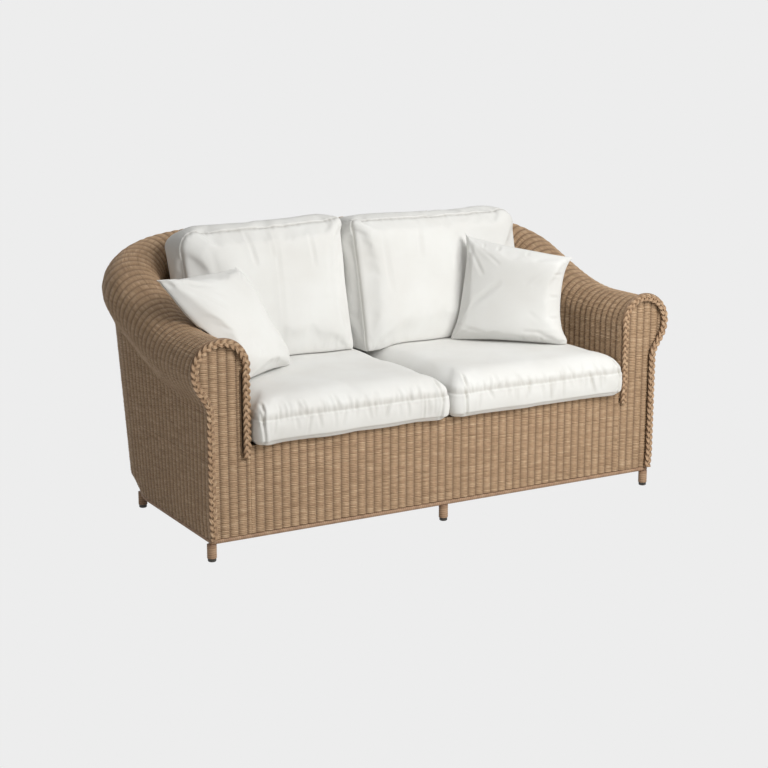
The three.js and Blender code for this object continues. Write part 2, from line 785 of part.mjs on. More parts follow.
const seat_cushions = [["left", -1], ["right", 1]].map(([name, side]) => {
  const rear = [seat_rear_corner_radius, seat_inner_corner_radius];
  const front = [seat_front_corner_radius, seat_front_corner_radius];
  const radii = side > 0 ? [...rear, ...front] : [...rear.reverse(), ...front];
  const form = boxedCushion(seat_half_width, seat_half_depth, radii, seat_border_height, seat_crown_height, 0);
  const cushion = addPiece(`seat_cushion_${name}`, form, "cover");
  cushion.position.set(side * seat_middle_x, seat_front + seat_half_depth, seat_base);
  return cushion;
});

// Back cushions standing on the seat cushions and leaning on the back
const back_cushion_half_height = back_cushion_height / 2;
const back_cushion_rear = inner_back_face - back_cushion_wall_gap;

const back_cushions = [["left", -1], ["right", 1]].map(([name, side]) => {
  const side_clearance = side < 0 ? back_cushion_left_clearance : back_cushion_right_clearance;
  const outer_x = side * (arm_inner_face - side_clearance);
  const inner_x = back_cushion_parting_offset + (side * cushion_parting_gap) / 2;
  const outer = [back_cushion_top_corner_radius, back_cushion_bottom_corner_radius];
  const inner = [back_cushion_parting_corner_radius, back_cushion_parting_corner_radius];
  const radii = side > 0 ? [outer[0], inner[0], inner[1], outer[1]] : [inner[0], outer[0], outer[1], inner[1]];
  const form = boxedCushion(
    Math.abs(outer_x - inner_x) / 2,
    back_cushion_half_height,
    radii,
    back_cushion_border_depth,
    back_cushion_crown_depth,
    back_cushion_rear_crown_depth,
  );
  form.rotateX(Math.PI / 2);
  form.applyMatrix4(new THREE.Matrix4().makeShear(0, 0, 0, 0, 0, back_cushion_lean_share));
  const cushion = addPiece(`back_cushion_${name}`, form, "cover");
  const middle_z = seat_top + back_cushion_half_height;
  cushion.position.set((outer_x + inner_x) / 2, back_cushion_rear, middle_z);
  settle(cushion, seat_cushions);
  return cushion;
});

// A knife-edged pillow stretched between four corners. Its sides draw in between the corners, the foot that it
// stands on hardly, and it is thickest in the middle.
function pillowForm(corners) {
  const [top_left, top_right, bottom_right, bottom_left] = corners;
  const across = top_right.clone().sub(top_left).add(bottom_right).sub(bottom_left);
  const up = top_left.clone().sub(bottom_left).add(top_right).sub(bottom_right);
  const facing = across.cross(up).normalize();
  const points = [];
  const place_of = new Map();

  function pointAt(column, row, side) {
    const on_edge = column === 0 || row === 0 || column === pillow_steps || row === pillow_steps;
    const key = `${column} ${row} ${on_edge ? 0 : side}`;
    if (!place_of.has(key)) {
      const u = (2 * column) / pillow_steps - 1;
      const v = (2 * row) / pillow_steps - 1;
      const u_drawn = (1 + u * (1 - pillow_draw_in_share * (1 - v * v))) / 2;
      const v_draw_in = v > 0 ? pillow_draw_in_share : pillow_foot_draw_in_share;
      const v_drawn = (1 + v * (1 - v_draw_in * (1 - u * u))) / 2;
      const low = bottom_left.clone().lerp(bottom_right, u_drawn);
      const high = top_left.clone().lerp(top_right, u_drawn);
      const swell = on_edge ? 0 : Math.sqrt((1 - u * u) * (1 - v * v));
      const fullness = side > 0 ? pillow_front_thickness : -pillow_rear_thickness;
      const point = low.lerp(high, v_drawn).addScaledVector(facing, swell * fullness);
      place_of.set(key, points.push(point) - 1);
    }
    return place_of.get(key);
  }

  const triangles = [];
  for (const side of [1, -1]) {
    for (let row = 0; row < pillow_steps; row += 1) {
      for (let column = 0; column < pillow_steps; column += 1) {
        const a = pointAt(column, row, side);
        const b = pointAt(column + 1, row, side);
        const c = pointAt(column + 1, row + 1, side);
        const d = pointAt(column, row + 1, side);
        triangles.push(...(side > 0 ? [[a, b, c], [a, c, d]] : [[a, c, b], [a, d, c]]));
      }
    }
  }
  return solidFrom(points, triangles);
}

// Throw pillows in the two corners of the seat. A corner's shares are its distance in from the arm's inner face
// over half the seat's width, its distance in front of the back's inner face over the seat's depth, and its
// height over the seat cushion over the pillow's height.
const pillow_corner_shares = {
  left: {
    top_left: { inward: -0.2141, forward: 0.5911, up: 0.8909 },
    top_right: { inward: 0.2453, forward: 0.3357, up: 0.8939 },
    bottom_right: { inward: 0.4375, forward: 0.5400, up: 0.0152 },
    bottom_left: { inward: 0.1531, forward: 0.7735, up: 0.0091 },
  },
  right: {
    top_left: { inward: 0.4359, forward: 0.3386, up: 1.0182 },
    top_right: { inward: 0.1172, forward: 0.7589, up: 0.8879 },
    bottom_right: { inward: 0.1500, forward: 0.7472, up: 0.0152 },
    bottom_left: { inward: 0.5578, forward: 0.3882, up: 0.0424 },
  },
};

for (const [name, side] of [["left", -1], ["right", 1]]) {
  const corners = Object.values(pillow_corner_shares[name]).map(({ inward, forward, up }) => {
    const x = side * arm_inner_face * (1 - inward);
    return new THREE.Vector3(x, inner_back_face * (1 - forward), seat_top + up * pillow_height);
  });
  const pillow = addPiece(`throw_pillow_${name}`, pillowForm(corners), "cover");
  settle(pillow, [...skins, ...seat_cushions, ...back_cushions]);
}

// The origin: on the floor, under the middle of the whole sofa
const extent = new THREE.Box3().setFromObject(sofa);
sofa.position.y = -(extent.min.y + extent.max.y) / 2;

export default sofa;
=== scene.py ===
import math

import bpy
import numpy as np
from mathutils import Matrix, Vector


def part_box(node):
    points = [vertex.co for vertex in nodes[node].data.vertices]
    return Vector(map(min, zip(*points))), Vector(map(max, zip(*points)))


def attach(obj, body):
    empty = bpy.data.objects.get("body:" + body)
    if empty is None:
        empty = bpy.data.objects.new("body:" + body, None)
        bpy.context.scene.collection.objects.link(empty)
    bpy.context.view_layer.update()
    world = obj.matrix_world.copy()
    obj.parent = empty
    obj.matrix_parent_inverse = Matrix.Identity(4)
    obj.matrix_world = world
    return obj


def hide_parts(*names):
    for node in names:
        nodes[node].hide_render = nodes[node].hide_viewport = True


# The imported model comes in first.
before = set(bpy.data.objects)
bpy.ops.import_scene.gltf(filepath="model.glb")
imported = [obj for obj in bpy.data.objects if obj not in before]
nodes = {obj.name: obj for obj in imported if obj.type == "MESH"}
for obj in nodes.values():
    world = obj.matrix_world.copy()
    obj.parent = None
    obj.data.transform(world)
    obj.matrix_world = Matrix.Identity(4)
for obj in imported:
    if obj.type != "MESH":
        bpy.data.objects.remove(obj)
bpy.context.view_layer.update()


# Camera: the photograph's, 30 degrees round to the left of the front and 12.8 degrees down.
def new_object(name, data):
    """An object of some data, in the scene."""
    made = bpy.data.objects.new(name, data)
    bpy.context.scene.collection.objects.link(made)
    return made


camera = new_object("camera", bpy.data.cameras.new("camera"))
camera.data.lens = 76.875
camera.location = (-2.511, -4.3948, 1.49)
camera.rotation_euler = (math.radians(90 - 12.8), 0, math.radians(-30))
bpy.context.scene.camera = camera
bpy.context.scene.view_settings.view_transform = "Standard"


# Surroundings: a plain pale floor and backdrop, of one tone where the camera, mirrors and glass see them.
# The light that they give the object is another: dim and even.
def colour(code):
    """Linear red, green, blue and alpha of an sRGB hex code such as #A08468."""
    parts = [int(code[at : at + 2], 16) / 255 for at in (1, 3, 5)]
    return [p / 12.92 if p <= 0.04045 else ((p + 0.055) / 1.055) ** 2.4 for p in parts] + [1.0]


def connect(tree, node, inputs):
    """Sets a node's inputs. An input takes a value or another node's output, which it is linked to."""
    for name, value in inputs.items():
        if isinstance(value, bpy.types.NodeSocket):
            tree.links.new(value, node.inputs[name])
        else:
            node.inputs[name].default_value = value


def add(tree, kind, inputs, **settings):
    """Adds a node with its settings and inputs."""
    node = tree.nodes.new("ShaderNode" + kind)
    for name, value in settings.items():
        setattr(node, name, value)
    connect(tree, node, inputs)
    return node


def shown_to_camera(tree, shown, otherwise, output):
    """One shader for what camera, mirror and glass rays meet, and another for the light on the object."""
    path = add(tree, "LightPath", {}).outputs
    mirror, glass = path["Is Glossy Ray"], path["Is Transmission Ray"]
    mirrored = add(tree, "Math", {0: mirror, 1: glass}, operation="MAXIMUM")
    seen = add(tree, "Math", {0: path["Is Camera Ray"], 1: mirrored.outputs[0]}, operation="MAXIMUM")
    mix = add(tree, "MixShader", {0: seen.outputs[0], 1: otherwise.outputs[0], 2: shown.outputs[0]})
    connect(tree, output, {"Surface": mix.outputs[0]})


backdrop_tone = colour("#EDEDED")
world = bpy.data.worlds.new("studio")
world.use_nodes = True
bpy.context.scene.world = world
tree = world.node_tree
seen_sky = add(tree, "Background", {"Color": backdrop_tone})
lighting_sky = add(tree, "Background", {"Color": colour("#F8F7F4"), "Strength": 0.30})
shown_to_camera(tree, seen_sky, lighting_sky, tree.nodes["World Output"])

floor_mesh = bpy.data.meshes.new("floor")
floor_mesh.from_pydata([(-9, -9, 0), (9, -9, 0), (9, 9, 0), (-9, 9, 0)], [], [(0, 1, 2, 3)])
floor = new_object("floor", floor_mesh)
floor_material = bpy.data.materials.new("floor")
floor_material.use_nodes = True
floor_mesh.materials.append(floor_material)
tree = floor_material.node_tree
matt = tree.nodes["Principled BSDF"]
connect(tree, matt, {"Base Color": colour("#D8D6D2"), "Roughness": 0.9})
glow = add(tree, "Emission", {"Color": backdrop_tone})
shown_to_camera(tree, glow, matt, tree.nodes["Material Output"])


# Lights: a large soft key from the front right, which leaves the left arm in shade, and a soft light
# overhead.
def soft_light(name, place, target, size, power, tint):
    """A round lamp that shines at a target: tipped up from straight down, then turned towards it."""
    data = bpy.data.lights.new(name, "AREA")
    data.shape, data.size, data.energy = "DISK", size, power
    data.color = colour(tint)[:3]
    light = new_object(name, data)
    light.location = place
    x, y, z = np.array(target) - np.array(place)
    light.rotation_euler = (math.atan2(math.hypot(x, y), -z), 0, math.atan2(y, x) - math.pi / 2)


soft_light("key", (0.7, -2.7, 2.3), (0.1, 0, 0.35), 1.8, 83, "#FFFFFD")
soft_light("overhead", (0.6, -0.2, 3.2), (0, 0, 0.4), 2.4, 10, "#FFFFFF")


# Wicker: machine-woven cane with a satin skin. Its tone drifts along each strand and differs from strand to
# strand, and it is darker in the grooves between the stakes as painted shade. A strand's UV is the
# distance along it in metres and a number of its own.
def new_material(name):
    made = bpy.data.materials.new(name)
    made.use_nodes = True
    return made, made.node_tree, made.node_tree.nodes["Principled BSDF"]


def tones(tree, factor, stops):
    """Colours between some places of a 0 to 1 factor."""
    ramp = add(tree, "ValToRGB", {0: factor})
    for number, (place, code) in enumerate(stops):
        stop = ramp.color_ramp.elements[0] if number == 0 else ramp.color_ramp.elements.new(place)
        stop.position, stop.color = place, colour(code)
    ramp.color_ramp.elements.remove(ramp.color_ramp.elements[-1])
    return ramp.outputs[0]


def shaded_by_recess(tree, tone, shade_code):
    """Painted shade: a colour that goes over from its tone to a darker one as a point's recess goes from 0
    to 1.
    """
    recess = add(tree, "Attribute", {}, attribute_name="recess").outputs["Fac"]
    return add(tree, "Mix", {0: recess, 6: tone, 7: colour(shade_code)}, data_type="RGBA").outputs[2]


def cane_material(name, dark, middle, light, groove_shade):
    """Cane of three tones, with a painted shade for its grooves and a fine fibre about a millimetre across.
    """
    drifts_per_metre, fibres_per_metre = 16.0, 900.0
    made, tree, shader = new_material(name)
    strand = add(tree, "UVMap", {}).outputs[0]
    drift = add(tree, "VectorMath", {0: strand, 1: (drifts_per_metre, 1, 1)}, operation="MULTIPLY")
    drift = add(tree, "TexNoise", {"Vector": drift.outputs[0], "Scale": 1, "Detail": 3, "Roughness": 0.7})
    cane = tones(tree, drift.outputs["Fac"], ((0.27, dark), (0.5, middle), (0.73, light)))
    spot = add(tree, "TexCoord", {}).outputs["Object"]
    fibre = add(tree, "TexNoise", {"Vector": spot, "Scale": fibres_per_metre, "Detail": 2.0})
    bump = add(tree, "Bump", {"Height": fibre.outputs["Fac"], "Strength": 0.25, "Distance": 0.0004})
    connect(tree, shader, {"Base Color": shaded_by_recess(tree, cane, groove_shade), "Normal": bump.outputs[0]})
    connect(tree, shader, {"Roughness": 0.56, "Specular IOR Level": 0.35})
    return made


# Its last tone is the painted shade in the grooves.
wicker = cane_material("woven_cane", "#9B7F62", "#B99B7C", "#D1B596", "#886E55")


def mesh_piece(name, points, faces, marks, material, slot, body="frame"):
    """A smooth-shaded piece from points (n, 3) and four-cornered faces (m, 4). Marks (n, 3) are each
    point's UV and how deep it lies in a groove, from 0 to 1."""
    mesh = bpy.data.meshes.new(name)
    mesh.vertices.add(len(points))
    mesh.vertices.foreach_set("co", points.astype(np.float32).ravel())
    mesh.loops.add(faces.size)
    mesh.loops.foreach_set("vertex_index", faces.astype(np.int32).ravel())
    mesh.polygons.add(len(faces))
    mesh.polygons.foreach_set("loop_start", np.arange(0, faces.size, 4, dtype=np.int32))
    mesh.polygons.foreach_set("use_smooth", np.ones(len(faces), bool))
    mesh.update(calc_edges=True)
    layer = mesh.uv_layers.new(name="UVMap")
    layer.data.foreach_set("uv", marks[faces.ravel(), :2].astype(np.float32).ravel())
    recess = mesh.attributes.new("recess", "FLOAT", "POINT")
    recess.data.foreach_set("value", marks[:, 2].astype(np.float32))
    mesh.materials.append(material)
    piece = new_object(name, mesh)
    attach(piece, body)
    return piece


def unit(vectors):
    """The vectors' directions, one unit long."""
    return vectors / np.linalg.norm(vectors, axis=-1, keepdims=True)


def distance_along(points):
    """How far along a line each of its points lies."""
    return np.concatenate([[0], np.cumsum(np.linalg.norm(np.diff(points, axis=0), axis=1))])


def tube_faces(rings, sides):
    """Four-cornered faces of a closed tube: between each ring and the next, and across both flat ends."""
    ring, corner = np.meshgrid(np.arange(rings - 1), np.arange(sides), indexing="ij")
    wall = np.stack([ring * sides + corner, ring * sides + (corner + 1) % sides], -1)
    wall = np.concatenate([wall, wall[..., ::-1] + sides], -1).reshape(-1, 4)
    at = np.arange(1, sides // 2)
    end = np.stack([at - 1, at, sides - 1 - at, (sides - at) % sides], 1)
    return np.concatenate([wall, end[:, ::-1], end + (rings - 1) * sides])


def strands(runs, half_width, half_height, sides=4):
    """Closed strands of oval section, as points, faces and marks. A run is (centres (n, 3), normals (n, 3),
    tone, recess (n,), widening (n,)). At each centre the section is the centre + half_height * cos(a) *
    normal + widening * half_width * sin(a) * (tangent x normal)."""
    angle = 2 * np.pi * np.arange(sides)[:, None] / sides
    all_points, all_faces, all_marks, first = [], [], [], 0
    for centres, normals, tone, recess, widening in runs:
        count = len(centres)
        tangent = unit(np.gradient(centres, axis=0))
        normals = unit(normals - (normals * tangent).sum(1, keepdims=True) * tangent)
        up = half_height * np.cos(angle) * normals[:, None]
        reach = half_width * np.broadcast_to(widening, count)[:, None, None]
        across = reach * np.sin(angle) * np.cross(tangent, normals)[:, None]
        along = np.repeat(distance_along(centres), sides)
        recess = np.repeat(np.broadcast_to(recess, count), sides)
        all_points.append((centres[:, None] + up + across).reshape(-1, 3))
        all_faces.append(tube_faces(count, sides) + first)
        all_marks.append(np.stack([along, np.full(count * sides, tone), recess], 1))
        first += count * sides
    return np.concatenate(all_points), np.concatenate(all_faces), np.concatenate(all_marks)


# Shell: the face of the woven skin, which runs in one weave from the left arm round the back to the right
# arm, over the roll and down inside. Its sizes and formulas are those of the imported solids, in metres.
front_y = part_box("woven_skin_left")[0].y
roll_half_width, roll_straight, roll_corner = 0.725, 0.5936, 0.1851
wall_half_width, wall_straight, wall_corner = 0.767, 0.545, 0.220
rail_half_width, rail_straight, rail_corner = 0.757, 0.4714, 0.2836
deck_top, skirt_low, knee_height, skirt_offset = 0.318, 0.0643, 0.110, 0.006
arm_radius, back_radius, growth_start, growth_length = 0.085, 0.0935, 0.2, 0.7
rise_distances, rise_heights = (0.169, 0.438, 0.640, 1.026), (0.618, 0.618, 0.8254, 0.8254)
arm_neck_out, back_neck_out, neck_drop = 0.042, 0.0598, 0.107
neck_pull, roll_pull, roll_start = 0.030, 0.035, math.radians(-15)


def line_round(place, half_width, straight, corner):
    """Points (n, 3) and outward directions (n, 3) of a level line round the seat, at places 0 to 5: left
    arm, left corner, back, right corner, right arm. A straight's share moves along it, a corner's turns 90
    degrees."""
    turn = np.pi / 2 * (np.clip(place, 1, 2) + np.clip(place, 3, 4) - 4)
    middle_x = (half_width - corner) * (2 * np.clip(place, 2, 3) - 5)
    middle_y = straight * (np.clip(place, 0, 1) - np.clip(place, 4, 5) + 4)
    out = np.stack([-np.cos(turn), np.sin(turn), 0 * turn], 1)
    point = np.stack([middle_x, front_y + middle_y, 0 * turn], 1) + corner * out
    return point, out


corner_length, back_length = np.pi / 2 * roll_corner, 2 * (roll_half_width - roll_corner)
stretch_lengths = [roll_straight, corner_length, back_length, corner_length, roll_straight]
stretch_starts = np.concatenate([[0], np.cumsum(stretch_lengths)])


def cubic(t, handles):
    """A cubic curve: the sum of its four handles, by the weights (1-t)^3, 3t(1-t)^2, 3t^2(1-t) and t^3."""
    weights = [(1 - t) ** 3, 3 * t * (1 - t) ** 2, 3 * t**2 * (1 - t), t**3]
    return sum(weight * handle for weight, handle in zip(weights, handles))


def roll_top(distance):
    """Height of the roll's top: one cubic curve of height against distance from the nearer arm front."""
    t = np.linspace(0, 1, 400)
    return np.interp(distance, cubic(t, rise_distances), cubic(t, rise_heights))


def back_share(distance):
    """How far the roll has grown from its size on the arms, 0, to that on the back, 1: t^2 * (3 - 2t)."""
    t = np.clip((distance - growth_start) / growth_length, 0, 1)
    return t**2 * (3 - 2 * t)


def shell_at(place):
    """The shell's key lines at some places: base, knee, neck and roll centre points, outward directions,
    radii, and the curve over the roll as shifts out and up from its centre. A base point is the nearest to
    its knee."""
    travelled = np.interp(place, np.arange(6), stretch_starts)
    distance = np.minimum(travelled, stretch_starts[-1] - travelled)
    share = back_share(distance)
    radius = arm_radius + (back_radius - arm_radius) * share
    neck_out = arm_neck_out + (back_neck_out - arm_neck_out) * share
    growth = radius / arm_radius
    centre, out = line_round(place, roll_half_width, roll_straight, roll_corner)
    centre[:, 2] = roll_top(distance) - radius
    knee, _ = line_round(place, wall_half_width, wall_straight, wall_corner)
    rail, rail_out = line_round(np.linspace(0, 5, 6000), rail_half_width, rail_straight, rail_corner)
    rail += skirt_offset * rail_out
    base = rail[np.linalg.norm(knee[:, None] - rail, axis=2).argmin(1)]
    base[:, 2], knee[:, 2] = skirt_low, knee_height
    neck = centre + neck_out[:, None] * out
    neck[:, 2] -= neck_drop * growth
    low = np.stack([neck_out, -neck_drop * growth], 1)
    high = np.stack([radius * math.cos(roll_start), radius * math.sin(roll_start)], 1)
    low_handle = low + np.stack([0 * growth, neck_pull * growth], 1)
    high_handle = high + roll_pull * np.array([math.sin(roll_start), -math.cos(roll_start)])
    handles = [handle[:, None] for handle in (low, low_handle, high_handle, high)]
    bend = cubic(np.linspace(0, 1, 16)[:, None], handles)
    angle = np.linspace(roll_start, np.pi, 60)[1:]
    arc = radius[:, None, None] * np.stack([np.cos(angle), np.sin(angle)], 1)[None]
    return base, knee, neck, centre, out, radius, np.concatenate([bend, arc], 1)


def even_steps(curve, shares):
    """Points (n, k, 2) of each curve (n, m, 2) at some shares of its length."""
    made = []
    for line in curve:
        reached = distance_along(line)
        reached /= reached[-1]
        made.append(np.stack([np.interp(shares, reached, line[:, k]) for k in (0, 1)], 1))
    return np.stack(made)


# Weave: a pairing weave, in which each row passes over every stake and dips between two stakes, where its
# two canes cross. The dips line up as grooves. Rows on the walls are level, and rows on the roll follow it.
row_pitch, stake_gap, weave_depth = 0.0052, 0.0271, 0.0040
cane_size, stake_size, stake_depth = (0.0033, 0.0017), (0.0048, 0.0014), 0.0032
groove_share, wall_sink, pair_slant = 0.19, 0.93, 0.0007
level_error, face_error, strand_numbers = 0.0003, 0.0002, (0, 400)
roll_row_count, row_overlap, direction_step = 76, 0.003, 0.004
inner_wall_low, inner_row_low = deck_top - 0.016, deck_top - 0.013
pitch_count = round(stretch_starts[-1] / stake_gap)
in_pitch = np.array([0, groove_share, 0.5, 1 - groove_share])
pitches = np.append((np.arange(pitch_count)[:, None] + in_pitch).ravel(), pitch_count)
travel = pitches * stretch_starts[-1] / pitch_count
shell_places = np.interp(travel, stretch_starts, np.arange(6))
base, knee, neck, centre, out, radius, curve = shell_at(shell_places)
noise = np.random.default_rng(7)


def weave_height(pitches):
    """Height of a row over the groove between two stakes: depth * sqrt(|sin(pi * pitches)|)."""
    return weave_depth * np.abs(np.sin(np.pi * pitches)) ** 0.5


def woven(points, up_section, widening, first_column):
    """A run over some neighbouring columns: the surface's normal is up_section x along, and the run slants
    a little from one groove to the next, as each cane of a pair goes from the lower to the upper place."""
    along = np.gradient(points, axis=0)
    normal = unit(np.cross(up_section, along))
    upwards = unit(np.cross(along, normal))
    own = pitches[first_column : first_column + len(points)]
    height = weave_height(own)
    slant = pair_slant * np.sin(2 * np.pi * own) + noise.normal(0, level_error)
    swell = height - wall_sink * weave_depth + noise.normal(0, face_error)
    points = points + swell[:, None] * normal + slant[:, None] * upwards
    # How deep a point lies in its groove, 1 - height / depth, darkens it as painted shade.
    return points, normal, noise.uniform(*strand_numbers), 1 - height / weave_depth, widening


def level_rows(low, high, low_z, high_z, upwards):
    """Level rows between two lines round the shell, one every row_pitch of height. Where the surface
    between them slopes, a row is wider by the slope's length over its height. A row breaks off above the
    upper line."""
    rows = []
    climb = high - low
    along = unit(np.gradient(low + high, axis=0) * [1, 1, 0])
    widening = np.linalg.norm(np.cross(climb, along), axis=1) / climb[:, 2]
    for z in np.arange(low_z, high_z, row_pitch):
        share = (z - low[:, 2]) / climb[:, 2]
        points = low + share[:, None] * climb
        inside = (share < 1 + row_overlap / climb[:, 2]).astype(int)
        edges = np.flatnonzero(np.diff(np.concatenate([[0], inside, [0]])))
        for start, stop in zip(edges[::2], edges[1::2]):
            if stop - start > 3:
                part = slice(start, stop)
                rows.append((points[part], climb[part] * upwards, widening[part], start))
    return rows


skirt_rows = level_rows(base, knee, skirt_low + row_pitch / 2, knee_height, 1)
wall_start = skirt_low + row_pitch * (len(skirt_rows) + 0.5)
wall_rows = level_rows(knee, neck, wall_start, neck[:, 2].max(), 1)
shares = (np.arange(roll_row_count) + 0.5) / roll_row_count
over = even_steps(curve, shares)
after, before = (np.clip(shares + step, 0, 1) for step in (direction_step, -direction_step))
ahead = even_steps(curve, after) - even_steps(curve, before)
roll_rows = []
for row in range(roll_row_count):
    points = centre + over[:, row, :1] * out
    points[:, 2] += over[:, row, 1]
    up_section = ahead[:, row, :1] * out
    up_section[:, 2] += ahead[:, row, 1]
    roll_rows.append((points, up_section, np.ones(len(points)), 0))
inner_high = centre - radius[:, None] * out
inner_low = inner_high.copy()
inner_low[:, 2] = inner_wall_low
inner_rows = level_rows(inner_low, inner_high, inner_row_low, inner_high[:, 2].max(), -1)

stretch_names = ["left", "corner_left", "back", "corner_right", "right"]
cuts = 4 * np.round(stretch_starts / stretch_starts[-1] * pitch_count).astype(int)
for stretch, name in enumerate(stretch_names):
    low, high = cuts[stretch], cuts[stretch + 1]
    for zone, zone_rows in (("wall", skirt_rows + wall_rows), ("roll", roll_rows), ("inner", inner_rows)):
        runs = []
        for points, up_section, widening, start in zone_rows:
            first, last = max(low - 1, start), min(high + 1, start + len(points) - 1)
            if last - first > 1:
                part = slice(first - start, last - start + 1)
                runs.append(woven(points[part], up_section[part], widening[part], first))
        piece = mesh_piece(f"weave_{zone}_{name}", *strands(runs, *cane_size), wicker, "outer_weave")
    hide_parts(f"woven_skin_{name}")

    stake_runs = []
    for column in range(low + 2, high, 4):
        roll_line = even_steps(curve[column : column + 1], np.linspace(0, 1, 30))[0]
        roll_part = centre[column] + roll_line[:, :1] * out[column] + roll_line[:, 1:] * np.array([0, 0, 1])
        shares = np.linspace(0, 1, 5)[:, None]
        wall_part = knee[column] + shares * (neck[column] - knee[column])
        inner_part = inner_high[column] + shares * (inner_low[column] - inner_high[column])
        line = np.concatenate([base[column : column + 1], wall_part[:-1], roll_part, inner_part[1:]])
        sideways = np.array([out[column][1], -out[column][0], 0])
        normal = unit(np.cross(np.gradient(line, axis=0), sideways))
        # A stake, which lies behind the rows, is half darkened as painted shade.
        stake_runs.append((line - stake_depth * normal, normal, noise.uniform(*strand_numbers), 0.5, 1))
    mesh_piece(f"stakes_{name}", *strands(stake_runs, *stake_size), wicker, "outer_weave")


# Apron and arm fronts: flat panels of the same weave, set back behind the plaited trim. On an arm front a
# narrow slot runs beside the trim's inner edge, where the panel's weave turns in behind it.
panel_y, panel_sink, panel_stake_y = front_y + 0.0042, 0.8, front_y + 0.0042 + 0.0030
arm_inner = roll_half_width - arm_radius
arm_margin, arm_stake_top, arm_stake_reach = 0.004, 0.55, roll_half_width + 0.03
slot_edge, slot_step, slot_depth = 0.670, 0.003, 0.009
slot_low, slot_high, slot_fade = 0.285, 0.540, 0.030
shortest_row, panel_spare = 0.6 * stake_gap, 0.001
facing_front = np.array([[0.0, -1.0, 0.0]])
arm_curve = even_steps(curve[:1], np.linspace(0, 1, 80))[0]
arm_line = np.stack([-roll_half_width - arm_curve[:, 0], centre[0, 2] + arm_curve[:, 1]], 1)
arm_line = np.concatenate([[base[0, [0, 2]], knee[0, [0, 2]]], arm_line])
crest = arm_line[:, 1].argmax()


def panel_rows(low_z, high_z, span, slot_x=None):
    """Level rows on the plane of the fronts. span(z) gives a row's two ends, and the swell follows stakes
    that stand every stake_gap from the middle of the sofa. Beyond slot_x the rows sink behind the trim."""
    runs = []
    for z in np.arange(low_z, high_z, row_pitch):
        left, right = span(z)
        if right - left < shortest_row:
            continue
        whole = np.arange(math.floor(left / stake_gap), math.ceil(right / stake_gap) + 1)
        inside = ((whole[:, None] + in_pitch) * stake_gap).ravel()
        sinks = slot_x is not None and slot_low < z < slot_high
        if sinks:
            inside = np.sort(np.append(inside, [slot_x, slot_x - math.copysign(slot_step, slot_x)]))
        inside = inside[(inside > left + panel_spare) & (inside < right - panel_spare)]
        x = np.concatenate([[left], inside, [right]])
        height = weave_height(x / stake_gap)
        swell = height - panel_sink * weave_depth + noise.normal(0, face_error)
        # How deep a point lies in its groove, and in the slot where the rows sink behind the trim, darkens
        # it as painted shade.
        groove = 1 - height / weave_depth
        if sinks:
            sunk = np.clip((abs(slot_x) - np.abs(x)) / slot_step, 0, 1)
            sunk *= min(1, (z - slot_low) / slot_fade, (slot_high - z) / slot_fade)
            swell = swell - slot_depth * sunk
            groove = np.maximum(groove, sunk)
        level = z + pair_slant * np.sin(2 * np.pi * x / stake_gap) + noise.normal(0, level_error)
        points = np.stack([x, panel_y - swell, level], 1)
        runs.append((points, facing_front, noise.uniform(*strand_numbers), groove, 1))
    return runs


def panel_stakes(places, top):
    """Upright stakes behind the plane of the fronts, from the foot of the weave up to one height."""
    z = np.linspace(skirt_low, top, 12)
    lines = [np.stack([np.full(12, x), np.full(12, panel_stake_y), z], 1) for x in places]
    # A stake, which lies behind the rows, is half darkened as painted shade.
    return [(line, facing_front, noise.uniform(*strand_numbers), 0.5, 1) for line in lines]


def arm_span(z):
    """The outer and the inner end of a row on the left arm front, a margin inside the front's outline."""
    outer = np.interp(z, arm_line[: crest + 1, 1], arm_line[: crest + 1, 0]) + arm_margin
    inner = np.interp(z, arm_line[crest:, 1][::-1], arm_line[crest:, 0][::-1]) - arm_margin
    return outer, -arm_inner if z < arm_line[-1, 1] else inner


stake_places = (np.arange(-40, 40) + 0.5) * stake_gap
apron_stakes = stake_places[abs(stake_places) < arm_inner]
first_row = skirt_low + row_pitch / 2
rows = panel_rows(first_row, deck_top, lambda z: (-arm_inner, arm_inner))
apron = mesh_piece("weave_apron", *strands(rows, *cane_size), wicker, "outer_weave")
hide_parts("front_apron")
made = strands(panel_stakes(apron_stakes, deck_top), *stake_size)
mesh_piece("stakes_apron", *made, wicker, "outer_weave")

for name, side in (("left", 1), ("right", -1)):
    top = arm_line[crest, 1] - arm_margin
    rows = panel_rows(first_row, top, lambda z: sorted(side * x for x in arm_span(z)), -side * slot_edge)
    arm_front = mesh_piece(f"weave_arm_front_{name}", *strands(rows, *cane_size), wicker, "outer_weave")
    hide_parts(f"arm_front_{name}")
    own = [x for x in stake_places if arm_inner < -side * x < arm_stake_reach]
    made = strands(panel_stakes(own, arm_stake_top), *stake_size)
    mesh_piece(f"stakes_arm_front_{name}", *made, wicker, "outer_weave")


# Plaited trim: three bands of three canes each, braided flat over a wide backing strand, up the outer edge
# of an arm front, over the roll and down its inner edge. It is of lighter cane than the weave.
# The plait's last tone is the painted shade.
plait = cane_material("plaited_cane", "#97785C", "#BB9B7C", "#D6BC9C", "#6F5640")
plait_size, plait_length, band_swing, cane_gap, band_lift = (0.0019, 0.0017), 0.058, 0.0070, 0.0031, 0.0030
trim_y, backing_y, backing_widening = front_y - 0.0073, front_y - 0.0020, 5.2
edge_inset, inner_inset, roll_inset, backing_shift, trim_low = 0.006, 0.0065, 0.006, 0.005, 0.288
turn_start, turn_length, middle_recess, full_recess_lift, backing_recess = 0.2, 1.3, 0.35, 0.0086, 0.7
edge = np.concatenate([arm_line, [[-arm_inner, trim_low]]])
fine = even_steps(edge[None], np.linspace(0, 1, 500))[0]
direction = unit(np.gradient(fine, axis=0))
inward = np.stack([direction[:, 1], -direction[:, 0]], 1)
